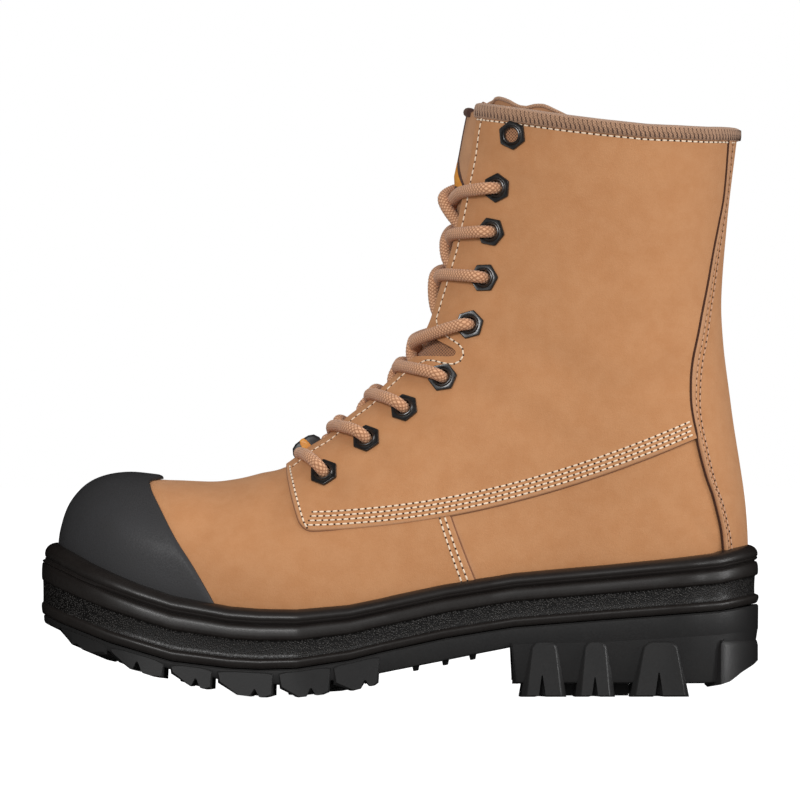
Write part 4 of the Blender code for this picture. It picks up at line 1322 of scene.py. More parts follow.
@dataclass
class SkinSheet:
    """Grid over the last in rows and shares, from which holes and the flex notch are cut."""

    s: Array
    share: Array
    side: Array
    faces: list[Face]
    gap: Gap

    def cut(self, hole_radius: float, sides: list[Side]) -> None:
        """Take the lace holes and the flex notch out of the faces.

        Args:
            hole_radius: Radius of a lace hole.
            sides: Sides that are cut.
        """
        places = LASTED.surface(self.s, self.share, self.side, self.gap)
        corners = [face[:4] if len(face) == 4 else (*face, face[0]) for face in self.faces]
        middles = places[np.array(corners)].mean(axis=1)
        notch = inside_polygon(middles[:, [0, 2]], FLEX_NOTCH)
        gone = notch.copy()
        for side in sides:
            for index in range(len(EYELETS)):
                centre, _ = eyelet_frame(index, side)
                gone |= np.linalg.norm(middles - centre, axis=1) < hole_radius
        touched = {i for face, cut in zip(self.faces, notch) if cut for i in face}
        kept = [face for face, cut in zip(self.faces, gone) if not cut]
        border = np.array(sorted(touched & {i for face in kept for i in face}), int)
        self.faces = kept
        if len(border):
            moved = nearest_on(places[border][:, [0, 2]], FLEX_NOTCH)
            inner = self.share[border] < EDGE_SHARE
            s, share = LASTED.place(moved, self.gap)
            self.s[border[inner]], self.share[border[inner]] = s[inner], share[inner]

    def wall(self, outer: Array | float, inner: float, inner_slot: int = 0, rim_slot: int = 0) -> Body:
        """Closed wall between two offsets from the last.

        Args:
            outer: Offset of the outer sheet.
            inner: Offset of the inner sheet.
            inner_slot: Finish number of the inner sheet.
            rim_slot: Finish number of the rim.

        Returns:
            The wall.
        """
        faces = [tuple(int(i) for i in face) for face in self.faces]
        sheets = [LASTED.skin(self.s, self.share, self.side, offset, self.gap) for offset in (outer, inner)]
        return thicken(*sheets, faces, inner_slot, rim_slot)


def seam_row(share: Array) -> Array:
    """Row of the last where the vamp's rear edge lies, which leans forward above the sole."""
    return SEAM_ROW + np.interp(share, SEAM_SHARES, SEAM_LEAN)


@dataclass
class Upper:
    """Vamp, counter and shaft wall: leather outside, mesh lining inside."""

    shop: Workshop
    columns: int = 40
    spacing: float = 1.9
    hole_radius: float = 3.7
    vamp_step: float = 0.9
    vamp_rows: Pair = (4.0, 8.0)
    lap: float = 0.004
    lap_steps: tuple[float, ...] = (-0.022, -0.012, -0.006, 0.0, 0.004, 0.008)
    lap_edge: float = 0.012
    lap_clear: float = 0.03
    throat_clear: float = 0.02
    seam_reach: Pair = (0.2, 0.6)
    seam_top: Pair = (0.50, 0.62)
    row_length: float = 50.0
    side_length: float = 110.0

    def rows(self) -> Array:
        """Row numbers at an even spacing along the side, closer where the vamp ends on the counter.

        Returns:
            Row numbers from the toe to the collar.
        """
        fine = np.linspace(0, COLLAR_ROW, 1901)
        reach = reach_along(LASTED.surface(fine, 0.45, -1.0))
        rows = np.interp(np.arange(0, reach[-1], self.spacing), reach, fine)
        rows = rows[np.abs(rows - SEAM_ROW) > self.lap_clear]
        rows = rows[np.abs(rows - THROAT_ROW) > self.throat_clear]
        steps = SEAM_ROW + np.array(self.lap_steps)
        return np.unique(np.concatenate([rows, steps, [0.0, THROAT_ROW, COLLAR_ROW]]))

    def below_quarter(self, share: Array) -> Array:
        """1 where the vamp's rear edge is seen, fading to 0 under the quarter."""
        return np.interp(share, self.seam_top, (1.0, 0.0))

    def build(self) -> Object:
        """Make the wall.

        Returns:
            The piece.
        """
        rows = self.rows()
        shares = np.linspace(0, 1, self.columns)
        s = np.repeat(rows, 2 * self.columns)
        share = np.tile(np.concatenate([shares, shares[::-1]]), len(rows))
        side = np.tile(np.repeat([-1.0, 1.0], self.columns), len(rows))
        near = np.interp(np.abs(s - SEAM_ROW), self.seam_reach, (1.0, 0.0)) * self.below_quarter(share)
        s += near * (seam_row(share) - SEAM_ROW)
        sheet = SkinSheet(s, share, side, self.faces(rows), Gap.OPEN)
        sheet.cut(self.hole_radius, list(Side))
        past = sheet.s - seam_row(sheet.share)
        vamp = np.interp(past, (-0.02, -self.lap, self.lap), (self.vamp_step, self.vamp_step * 0.8, 0.0))
        vamp *= np.interp(sheet.s, self.vamp_rows, (0.0, 1.0))
        lower = self.below_quarter(sheet.share)
        body = sheet.wall(vamp * lower, -WALL, inner_slot=1, rim_slot=2)
        edge = np.exp(-(past / self.lap_edge) ** 2) * lower
        body.values = {"edge": np.concatenate([edge, edge * 0]),
                       "along": np.tile(sheet.s * self.row_length, 2),
                       "across": np.tile(sheet.share * self.side_length, 2)}
        # Painted shadow line along the vamp's rear edge, where it laps onto the counter.
        share = np.linspace(0.04, 0.5, 60)
        seam = np.stack([seam_row(share) + self.lap, share], axis=1)
        body = Body.joined([body] + [edge_shadow_line(seam, side, 2, Gap.OPEN, 0.45, 0.1) for side in Side])
        return self.shop.make("upper_leather", body, [LEATHER, LINING, EDGE_AND_SHADOW_LEATHER], ["upper"])

    def faces(self, rows: Array) -> list[Face]:
        """Faces of the wall, joined over the toe and behind the heel and open along the lacing gap.

        Args:
            rows: Row numbers of the wall.

        Returns:
            Faces, counter-clockwise from outside.
        """
        half, width = self.columns, 2 * self.columns
        index = np.arange(len(rows) * width).reshape(len(rows), width)
        over_toe = rows < THROAT_ROW - 1e-9
        index[over_toe, half] = index[over_toe, half - 1]
        index[rows >= HEEL_ROW, -1] = index[rows >= HEEL_ROW, 0]
        index[0, half:] = index[0, :half][::-1]
        faces = []
        for r in range(len(rows) - 1):
            for c in range(width - 1):
                face = (index[r, c], index[r, c + 1], index[r + 1, c + 1], index[r + 1, c])
                if c == half - 1:
                    if over_toe[r] and not over_toe[r + 1]:
                        faces.append((index[r, c], index[r + 1, c + 1], index[r + 1, c]))
                elif len(set(face)) == 4:
                    faces.append(face)
        return faces


EDGE_ROWS = (0.0, 0.25, 0.55, 0.95, 1.5, 2.3, 3.4)


def edge_round(distance: Array, radius: float, start: float) -> Array:
    """Height share of a panel near its cut edge, from start at the edge to 1 inside."""
    inside = np.clip(distance / radius, 0.0, 1.0)
    return start + (1 - start) * np.sqrt(1 - (1 - inside) ** 2)


def edge_shadow_line(line: Array, side: Side, slot: int, gap: Gap, radius: float = 0.42,
              offset: Array | float = FIT + 0.1) -> Body:
    """Thin dark tube along a cut edge: a painted shadow line where the edge lies on the leather under it.

    Args:
        line: Rows and shares along the edge.
        side: Side of the boot.
        slot: Finish number of the line.
        gap: How the lacing gap is treated.
        radius: Radius of the line.
        offset: Height of its middle over the upper.

    Returns:
        The shadow line.
    """
    path = LASTED.skin(line[:, 0], line[:, 1], side.value, offset, gap)
    return tube(path, 1.3, radius, 7)[0].paint(slot)


class QuarterMap:
    """Map of a quarter panel: u runs along its lower edge, v from there to the throat."""

    corner = 0.56
    span = 250.0
    tuck = 0.9
    rear_from = 113.4

    def __init__(self) -> None:
        """Place the panel's four sides on the last."""
        lower = QUARTER_LOWER[:-1] + list(bezier(QUARTER_SWEEP, 24))
        rear = [(x + self.tuck, z) for x, z in reversed(BACKSTAY_EDGE) if z > self.rear_from]
        self.lower = self.side(lower)
        self.rear = self.side([lower[-1]] + rear)
        self.rear[-1, 0] = COLLAR_ROW
        self.front = self.side(QUARTER_FRONT)
        self.front = np.concatenate([self.front, np.linspace(self.front[-1], (THROAT_ROW, 1.0), 40)[1:]])
        self.front = self.even(self.front)
        rows = np.linspace(THROAT_ROW, COLLAR_ROW, 400)
        self.throat = self.even(np.stack([rows, np.ones_like(rows)], axis=1))
        self.collar = np.stack([np.full(200, COLLAR_ROW), np.linspace(self.rear[-1, 1], 1.0, 200)], axis=1)

    def side(self, points: list) -> Array:
        """Rows and shares along a smooth line in side view, evenly spaced."""
        return self.even(np.stack(LASTED.place(even_path(smooth_path(points, 600), 0.4)), axis=1))

    @staticmethod
    def even(line: Array, steps: int = 400) -> Array:
        """Line in rows and shares with points evenly spaced over the last."""
        reach = reach_along(LASTED.surface(line[:, 0], line[:, 1], -1.0, Gap.LONG))
        return read_along(np.linspace(0, reach[-1], steps), reach, line)

    @staticmethod
    def on(line: Array, at: Array) -> Array:
        """Rows and shares at places from 0 to 1 along a line."""
        return read_along(at, np.linspace(0, 1, len(line)), line)

    def at(self, u: Array, v: Array) -> Array:
        """Rows and shares at places of the panel.

        Args:
            u: Places along the lower edge, from 0 to 1.
            v: Places from it to the throat.

        Returns:
            Rows and shares in the last axis.
        """
        base = np.where((u < self.corner)[..., None], self.on(self.lower, u / self.corner),
                        self.on(self.rear, (u - self.corner) / (1 - self.corner)))
        top = self.on(self.throat, u)
        left, right = self.on(self.front, v), self.on(self.collar, v)
        u, v = u[..., None], v[..., None]
        corners = ((1 - u) * (1 - v) * self.lower[0] + u * (1 - v) * self.rear[-1]
                   + (1 - u) * v * self.throat[0] + u * v * self.throat[-1])
        return (1 - v) * base + v * top + (1 - u) * left + u * right - corners

    def length(self, u: Array) -> Array:
        """Distance from the lower edge to the throat at places u.

        Args:
            u: Places along the lower edge, from 0 to 1.

        Returns:
            Distances.
        """
        v = np.linspace(0, 1, 30)
        grid = self.at(*np.meshgrid(u, v, indexing="ij"))
        places = LASTED.surface(grid[..., 0], grid[..., 1], -1.0, Gap.LONG)
        return np.linalg.norm(np.diff(places, axis=1), axis=2).sum(axis=1)

    def inside(self, u: Array, distance: float) -> Array:
        """Rows and shares at a distance from the lower edge."""
        return self.at(u, distance / self.length(u))


QUARTER = QuarterMap()


@dataclass
class Quarters:
    """Shaft panels laid over vamp and counter, one on each side."""

    shop: Workshop
    columns: int = 170
    rows: int = 62
    hole_radius: float = 3.7
    edge_radius: float = 0.95
    edge_start: float = 0.4
    edge_wear: float = 0.6
    throat_edge: float = 0.35
    # Radius of the painted shadow line along the panel's cut edges.
    shadow_bead: float = 0.36

    def build(self) -> None:
        """Make both panels."""
        edge_u = np.array(EDGE_ROWS) / QUARTER.span
        u = np.unique(np.concatenate([edge_u, np.linspace(edge_u[-1], 1, self.columns), [QUARTER.corner]]))
        reach = QUARTER.length(u)
        rest = np.linspace(0, 1, self.rows - len(EDGE_ROWS) + 1)[1:]
        near, far = np.array(EDGE_ROWS), EDGE_ROWS[-1]
        distance = np.stack([np.concatenate([near, far + rest * (length - far)]) for length in reach])
        v = distance / reach[:, None]
        where = QUARTER.at(np.broadcast_to(u[:, None], v.shape), v)
        places = LASTED.surface(where[..., 0], where[..., 1], -1.0, Gap.LONG)
        front = np.concatenate([np.zeros((1, v.shape[1])),
                                np.cumsum(np.linalg.norm(np.diff(places, axis=0), axis=2), axis=0)])
        nearest = np.minimum(distance, front)
        nearest = np.minimum(nearest, np.maximum(reach[:, None] - distance, 0.0) + self.throat_edge)
        for side in Side:
            faces = grid_faces(*v.shape)
            if side is Side.MEDIAL:
                faces = flipped(faces)
            sheet = SkinSheet(where[..., 0].ravel().copy(), where[..., 1].ravel().copy(),
                              np.full(v.size, side.value), faces, Gap.LONG)
            sheet.cut(self.hole_radius, [side])
            height = FIT + PANEL * edge_round(nearest.ravel(), self.edge_radius, self.edge_start)
            body = sheet.wall(height, FIT, rim_slot=1)
            edge = np.exp(-((nearest.ravel() - self.edge_wear) / self.edge_wear) ** 2)
            body.values = {"edge": np.tile(edge, 2)}
            # Painted shadow line along the panel's lower and front cut edges.
            cut = np.concatenate([where[u <= QUARTER.corner, 0][::-1], where[0, 1:]])
            body = Body.joined([body, edge_shadow_line(cut, side, 1, Gap.LONG, self.shadow_bead)])
            name = f"quarter_{side.name.lower()}"
            self.shop.make(name + "_leather", body, [LEATHER, EDGE_AND_SHADOW_LEATHER], [name])


@dataclass
class ToeCap:
    """Rubber bumper over the toe."""

    shop: Workshop
    crest: float = 0.86
    columns: int = 60
    rows: int = 64
    last_row: float = 6.0
    edge_radius: float = 3.2
    edge_start: float = 0.25

    def build(self) -> Object:
        """Make the cap.

        Returns:
            The piece.
        """
        line = np.concatenate([CAP_EDGE[:2], even_path(smooth_path(CAP_EDGE[2:], 300), 1.0)])
        edge = np.stack(LASTED.place(line, Gap.CLOSED), axis=1)
        shares = np.linspace(0, 1, self.columns)
        order = np.argsort(edge[:, 1])
        stop = np.interp(shares, edge[order, 1], edge[order, 0])
        crest = np.clip((shares - self.crest) / (1 - self.crest), 0.0, 1.0)
        start = float(np.interp(self.crest, shares, stop))
        stop = np.where(crest > 0, start + (stop[-1] - start) * np.sin(crest * math.pi / 2) ** 2, stop)
        distance = np.concatenate([np.array(EDGE_ROWS[:0:-1]), [0.0]])
        rows, width = self.rows, 2 * self.columns
        fine = np.linspace(0, self.last_row, 601)
        s = np.zeros((rows, self.columns))
        for c, share in enumerate(shares):
            reach = reach_along(LASTED.surface(fine, share, -1.0, Gap.CLOSED))
            end = float(np.interp(stop[c], fine, reach))
            body_part = np.linspace(0, end - EDGE_ROWS[-1], rows - len(distance) + 1)[:-1]
            s[:, c] = np.interp(np.concatenate([body_part, end - distance]), reach, fine)
        both = np.concatenate([s, s[:, ::-1]], axis=1)
        index = np.arange(rows * width).reshape(rows, width)
        index[:, self.columns] = index[:, self.columns - 1]
        index[0, self.columns:] = index[0, :self.columns][::-1]
        faces = [(index[r, c], index[r, c + 1], index[r + 1, c + 1], index[r + 1, c])
                 for r in range(rows - 1) for c in range(width - 1) if c != self.columns - 1]
        from_edge = np.concatenate([np.full(rows - len(distance), EDGE_ROWS[-1]), distance])
        from_edge = np.repeat(from_edge, width)
        sheet = SkinSheet(both.ravel(), np.tile(np.concatenate([shares, shares[::-1]]), rows),
                          np.tile(np.repeat([-1.0, 1.0], self.columns), rows), faces, Gap.CLOSED)
        body = sheet.wall(FIT + CAP_WALL * edge_round(from_edge, self.edge_radius, self.edge_start), FIT)
        body.values = {"edge": np.tile(np.exp(-(from_edge / 0.6) ** 2), 2)}
        return self.shop.make("toe_cap_rubber", body, [TOE_RUBBER], ["toe_cap"])


@dataclass
class Backstay:
    """Strip over the rear seam, with a folded edge that stands a little proud, and a painted shadow line
    along its front edge.
    """

    shop: Workshop
    columns: int = 26
    rows: int = 116
    foot_rows: int = 6
    foot_span: float = 0.8
    fold_rise: float = 0.75
    fold_width: float = 2.2
    fold_fade: float = 0.6
    least: float = 4.2
    # Radius of the painted shadow line along the strip's front edge.
    shadow_bead: float = 0.62
    quarter_meets: Pair = (111.0, 116.0)

    def build(self) -> Object:
        """Make the strip.

        Returns:
            The piece.
        """
        edge = np.stack(LASTED.place(BACKSTAY_LINE, Gap.OPEN), axis=1)
        order = np.argsort(edge[:, 0])
        foot = np.linspace(HEEL_ROW - self.foot_span, HEEL_ROW, self.foot_rows, endpoint=False)
        rows = np.concatenate([foot, np.linspace(HEEL_ROW, COLLAR_ROW, self.rows - self.foot_rows)])
        half = np.interp(rows, edge[order, 0], edge[order, 1])
        near = np.array(EDGE_ROWS)
        s, share, from_edge, kept = [], [], [], []
        for number, (row, stop) in enumerate(zip(rows, half)):
            shares = np.linspace(0, stop, 200)
            places = LASTED.surface(np.full(200, row), shares, -1.0)
            if row < edge[:, 0].min():
                behind = places[:, 0] > BACKSTAY_EDGE[-1][0]
                shares, places = shares[behind], places[behind]
            reach = reach_along(places)
            if reach[-1] < self.least:
                continue
            kept.append(number)
            half[number] = shares[-1]
            far = np.linspace(reach[-1], near[-1], self.columns - len(near) + 1)[:-1]
            gaps = np.concatenate([far, near[::-1]])
            share.append(np.interp(reach[-1] - gaps, reach, shares))
            from_edge.append(gaps)
            s.append(np.full(len(gaps), row))
        s, share, from_edge = np.array(s), np.array(share), np.array(from_edge)
        rows, half = rows[kept], half[kept]
        width = 2 * self.columns - 1
        join = [np.concatenate([a[:, :0:-1], a], axis=1) for a in (s, share, from_edge)]
        side = np.tile(np.repeat([-1.0, 1.0], (self.columns - 1, self.columns)), (len(rows), 1))
        apart = {r * width + self.columns - 2 for r in range(int(np.sum(rows < HEEL_ROW)))}
        faces = flipped([face for face in grid_faces(len(rows), width) if face[0] not in apart])
        sheet = SkinSheet(join[0].ravel(), join[1].ravel(), side.ravel(), faces, Gap.OPEN)
        gap = join[2].ravel()
        fold = self.fold_rise * np.clip((self.fold_width + self.fold_fade - gap) / self.fold_fade, 0.0, 1.0)
        body = sheet.wall(FIT + (PANEL + fold) * edge_round(gap, 0.9, 0.5), FIT, rim_slot=1)
        strip = np.clip((self.fold_width + 0.3 - gap) / 0.4, 0.0, 1.0)
        body.values = {"edge": np.concatenate([0.9 * strip, 0 * strip])}
        # Painted shadow line along the strip's front edge on each side, lifted onto the quarters where they
        # meet it.
        front = np.stack([rows, half], axis=1)
        height = LASTED.surface(rows, half, -1.0)[:, 2]
        lift = np.interp(height, self.quarter_meets, (FIT + 0.1, PANEL_FACE))
        seen = rows >= edge[:, 0].min()
        shadow_beads = [edge_shadow_line(front[seen], side_of, 2, Gap.OPEN, self.shadow_bead, lift[seen]) for side_of in Side]
        finishes = [LEATHER, EDGE_AND_SHADOW_LEATHER, SEAM_SHADE]
        return self.shop.make("backstay_leather", Body.joined([body] + shadow_beads), finishes, ["backstay"])


# Stitching

class Capsule:
    """Small rounded bar along x, from -1 to 1, as a template for stitches and needle holes."""

    def __init__(self, stations: int, sides: int) -> None:
        """Make the template's points and faces.

        Args:
            stations: Rings along the bar.
            sides: Points in a ring.
        """
        at = np.linspace(0, math.pi, stations + 2)[1:-1]
        turn = np.linspace(0, 2 * math.pi, sides, endpoint=False)
        x, r = -np.cos(at), np.sin(at) ** 0.6
        rings = np.stack([np.repeat(x[:, None], sides, axis=1), r[:, None] * np.cos(turn),
                          r[:, None] * np.sin(turn)], axis=-1)
        self.points = rings.reshape(-1, 3)
        self.faces = rings_body(rings).faces

    def copies(self, middle: Array, ahead: Array, across: Array, up: Array,
               size: tuple[float, float, float]) -> Body:
        """Copies of the template.

        Args:
            middle: Middles of the copies.
            ahead: Directions of their length.
            across: Directions of their width.
            up: Directions of their height.
            size: Half length, half width and half height.

        Returns:
            All copies as one body.
        """
        axes = np.stack([ahead, across, up], axis=1) * np.array(size)[None, :, None]
        points = middle[:, None, :] + np.einsum("pk,nkj->npj", self.points, axes)
        count = len(self.points)
        faces = [tuple(i + n * count for i in face) for n in range(len(middle)) for face in self.faces]
        return Body(points.reshape(-1, 3), faces)


class SeamRow(NamedTuple):
    """A row of stitches on the boot, as points and the outward normals there."""

    points: Array
    out: Array
    finish: int = 0


@dataclass
class Stitching:
    """Every visible row of cream stitches with its needle holes."""

    shop: Workshop
    pitch: float = 2.95
    half_width: float = 0.42
    half_height: float = 0.34
    hole: float = 0.52
    lower_rows: tuple[float, ...] = (2.2, 4.1, 6.0, 7.9)
    lower_lead: Pair = (2.4, 0.75)
    stay_clear: float = 1.0
    seam_rows: tuple[float, ...] = (-0.066, -0.126)
    seam_ends: Pair = (0.10, 0.47)
    vamp_face: float = 0.9
    backstay_rows: tuple[float, ...] = (3.3, 5.9)
    backstay_ends: Pair = (64.0, 249.0)
    front_inset: float = 2.6
    front_top: float = 0.93
    throat_inset: float = 2.7
    collar_drop: Pair = (4.9, 5.9)
    collar_ends: Pair = (0.05, 0.985)
    length_share: float = 0.39

    @staticmethod
    def on_last(s: Array, share: Array, side: Side, offset: float, gap: Gap, finish: int = 0) -> SeamRow:
        """Row of stitches along rows and shares of the last."""
        return SeamRow(LASTED.skin(s, share, side.value, offset, gap),
                       LASTED.normal(s, share, side.value, gap), finish)

    def rows_of(self, side: Side) -> list[SeamRow]:
        """All rows on one side.

        Args:
            side: Side of the boot.

        Returns:
            The rows.
        """
        rows = self.lower_edge_rows(side)
        v = np.linspace(0.02, 1.0, 120)
        front = QUARTER.at(np.full_like(v, self.front_inset / QUARTER.span), v)
        front = front[front[:, 1] < self.front_top]
        rows.append(self.on_last(front[:, 0], front[:, 1], side, PANEL_FACE, Gap.LONG))
        rows.append(self.throat_row(side))
        share = np.linspace(*self.seam_ends, 90)
        for step in self.seam_rows:
            rows.append(self.on_last(seam_row(share) + step, share, side, self.vamp_face, Gap.OPEN))
        rows += self.backstay_edge_rows(side)
        share = np.linspace(*self.collar_ends, 200)
        one = LASTED.surface(COLLAR_ROW, share, -1.0) - LASTED.surface(COLLAR_ROW - 0.2, share, -1.0)
        drop = np.interp(share, (0.0, 1.0), self.collar_drop)
        s = COLLAR_ROW - 0.2 * drop / np.linalg.norm(one, axis=1)
        rows.append(self.on_last(s, share, side, PANEL_FACE, Gap.OPEN))
        return rows

    def backstay_edge_rows(self, side: Side) -> list[SeamRow]:
        """Rows inside the backstay's front edge, from the sole to the collar tape.

        Args:
            side: Side of the boot.

        Returns:
            The rows.
        """
        low, high = self.backstay_ends
        line = BACKSTAY_LINE[(BACKSTAY_LINE[:, 1] > low) & (BACKSTAY_LINE[:, 1] < high)]
        s, stop = LASTED.place(line, Gap.OPEN)
        shares = stop[:, None] * np.linspace(0, 1, 80)
        places = LASTED.surface(s[:, None], shares, -1.0)
        reach = np.cumsum(np.linalg.norm(np.diff(places, axis=1), axis=2), axis=1)
        rows = []
        for inward in self.backstay_rows:
            share = np.array([np.interp(far[-1] - inward, far, at[1:]) for far, at in zip(reach, shares)])
            rows.append(self.on_last(s, share, side, PANEL_FACE + 0.1, Gap.OPEN, 2))
        return rows

    def lower_edge_rows(self, side: Side) -> list[SeamRow]:
        """Four rows along the quarter's lower edge, from its front row to the backstay.

        Args:
            side: Side of the boot.

        Returns:
            The rows.
        """
        line = even_path(bezier(QUARTER_SWEEP, 80), 1.2)
        ahead = unit(np.gradient(line, axis=0))
        stay = np.array(sorted((z, x) for x, z in BACKSTAY_EDGE))
        rows = []
        for number, distance in enumerate(self.lower_rows):
            lead = line[0] - (self.lower_lead[0] - self.lower_lead[1] * number, 0.0)
            places = line + distance * np.stack([-ahead[:, 1], ahead[:, 0]], axis=1)
            places = np.concatenate([[lead + (0.0, distance)], places])
            places = places[places[:, 0] < np.interp(places[:, 1], *stay.T) - self.stay_clear]
            s, share = LASTED.place(places)
            rows.append(self.on_last(s, share, side, PANEL_FACE, Gap.LONG))
        return rows

    def throat_row(self, side: Side) -> SeamRow:
        """Row inside the eyestay edge, which turns round the flex notch.

        Args:
            side: Side of the boot.

        Returns:
            The row.
        """
        def inside(z_from: float, z_to: float) -> Array:
            """Side view of a line inside the edge, from one height to another.

            Args:
                z_from: Height where it starts.
                z_to: Height where it ends.

            Returns:
                Places as x and z.
            """
            s = np.linspace(LASTED.edge_row(z_from), LASTED.edge_row(z_to), 160)
            places = LASTED.surface(s, 1.0, -1.0)[:, [0, 2]]
            ahead = unit(np.gradient(places, axis=0))
            return places + self.throat_inset * np.stack([ahead[:, 1], -ahead[:, 0]], axis=1)

        path = np.concatenate([inside(101.0, 142.0), smooth_path(NOTCH_SEAM, 60), inside(166.0, 256.0)])
        s, share = LASTED.place(path, Gap.OPEN)
        return self.on_last(s, share, side, PANEL_FACE, Gap.OPEN)

    def build(self) -> None:
        """Make the stitches of both sides."""
        bar, dot = Capsule(5, 6), Capsule(3, 6)
        for side in Side:
            bodies = []
            for row in self.rows_of(side):
                reach = reach_along(row.points)
                ends = np.linspace(0, reach[-1], int(reach[-1] / self.pitch) + 1)
                places, out = read_along(ends, reach, row.points), read_along(ends, reach, row.out)
                ahead = unit(np.diff(places, axis=0))
                up = out[:-1] + out[1:]
                up = unit(up - ahead * np.sum(up * ahead, axis=1, keepdims=True))
                frame_of = (ahead, np.cross(up, ahead), up)
                middle = (places[:-1] + places[1:]) / 2 + up * 0.1
                stitch = (self.length_share * self.pitch, self.half_width, self.half_height)
                bodies.append(bar.copies(middle, *frame_of, stitch).paint(row.finish))
                needle = (self.hole, self.hole * 0.85, 0.16)
                bodies.append(dot.copies(places[:-1], *frame_of, needle).paint(1))
            self.shop.make(f"stitching_{side.name.lower()}", Body.joined(bodies),
                           [CREAM_THREAD, NEEDLE_HOLE, TAN_THREAD])


@dataclass
class CollarBinding:
    """Knitted tape folded over the collar, overlocked with dark thread."""

    shop: Workshop
    tape: float = 1.2
    rise: float = 1.6
    drop_front: float = 5.2
    drop_back: float = 4.0
    stations: int = 300
    stroke_gap: float = 1.0
    stroke_lean: float = 0.75
    face: tuple[Pair, ...] = ((1.1, 0.2), (1.15, 0.45), (1.05, 0.72), (0.8, 0.9), (0.4, 1.0),
                                             (0.0, 1.0), (0.0, 0.1))

    def frame_at(self, share: Array, side: Array) -> tuple[Array, Array, Array]:
        """Collar points, outward normals and upward directions.

        Args:
            share: Places from back (0) to front (1).
            side: -1 lateral or 1 medial.

        Returns:
            The points and both sets of directions.
        """
        top = LASTED.skin(np.full_like(share, COLLAR_ROW), share, side)
        out = LASTED.normal(np.full_like(share, COLLAR_ROW), share, side)
        rise = top - LASTED.skin(np.full_like(share, COLLAR_ROW - 0.05), share, side)
        up = rise - out * np.sum(rise * out, axis=-1, keepdims=True)
        return top, out, unit(up)

    def build(self) -> Object:
        """Make the tape and its overlock stitches.

        Returns:
            The piece.
        """
        half = np.linspace(0, 1, self.stations // 2)
        share = np.concatenate([half[::-1], half[1:]])
        side = np.concatenate([np.full(len(half), -1.0), np.full(len(half) - 1, 1.0)])
        top, out, up = self.frame_at(share, side)
        drop = self.drop_back + (self.drop_front - self.drop_back) * share
        inner, outer = -WALL - FIT, 2 * FIT + PANEL
        middle, reach = (inner + outer) / 2, (outer - inner) / 2 + self.tape
        profile = [(inner, 0.0, 1.0), (inner - self.tape, 0.0, 1.0), (inner - self.tape, 0.0, 0.5)]
        profile += [(middle + reach * math.cos(t), self.rise * math.sin(t), 0.0)
                    for t in np.linspace(math.pi, 0, 11)]
        profile += [(outer + self.tape * a, 0.0, c) for a, c in self.face]
        profile.append((inner, 0.0, 0.1))
        rings = np.stack([top + out * a + up * (b - c * drop)[:, None] for a, b, c in profile], axis=1)
        length = reach_along(top)
        body = rings_body(rings).paint(0)
        body.values = {"along": np.repeat(length, len(profile)),
                       "across": np.tile(reach_along(rings[0]), self.stations - 1)}
        stitches = self.overlock(top, out, up, drop, length, outer + self.tape * 1.08)
        finishes = [TAPE, DARK_THREAD]
        return self.shop.make("collar_tape", Body.joined([body, stitches]), finishes, ["collar_binding"])

    def overlock(self, top: Array, out: Array, up: Array, drop: Array, length: Array, face: float) -> Body:
        """Dark slanted stitches over the tape's outer face, long and short by turns.

        Args:
            top: Points along the collar.
            out: Outward directions there.
            up: Upward directions there.
            drop: Height of the tape there.
            length: Lengths along the collar.
            face: Distance of the tape's face from the upper.

        Returns:
            All stitches as one body.
        """
        start = np.arange(0.9, length[-1] - 1.5, self.stroke_gap)
        bodies = []
        for first, high, low in ((0, 0.3, -0.5), (1, -0.3, -0.95)):
            along = start[first::2]
            ends = []
            for at, level in ((along, high), (along + self.stroke_lean, low)):
                depth = np.interp(at, length, drop)
                lift = np.where(level > 0, level * self.rise * 2, level * depth)
                inward = 0.35 if level > 0 else 0.0
                point, outward, upward = (read_along(at, length, values) for values in (top, out, up))
                ends.append(point + outward * (face - inward) + upward * lift[:, None])
            ahead = ends[1] - ends[0]
            half_length = float(np.linalg.norm(ahead, axis=1).mean()) / 2
            ahead, normal = unit(ahead), read_along(along, length, out)
            middle, across = (ends[0] + ends[1]) / 2, np.cross(normal, ahead)
            bodies.append(Capsule(4, 5).copies(middle, ahead, across, normal, (half_length, 0.33, 0.24)))
        return Body.joined(bodies).paint(1)


# Hardware, laces and tongue

# Flange as shares of the hexagon, and rolled lip and barrel as radii, each with its height over the seat
EYELET_FLANGE = ((0.985, -1.6), (1.0, 0.0), (1.0, 0.45), (0.965, 0.8), (0.94, 0.88), (0.91, 0.86))
EYELET_LIP = ((4.75, 0.84), (4.45, 0.9), (4.3, 1.3), (4.05, 1.62), (3.75, 1.7), (3.45, 1.58), (3.2, 1.25))
EYELET_BARREL = ((3.1, 0.7), (3.1, -4.0), (3.55, -4.0), (3.55, -1.6))


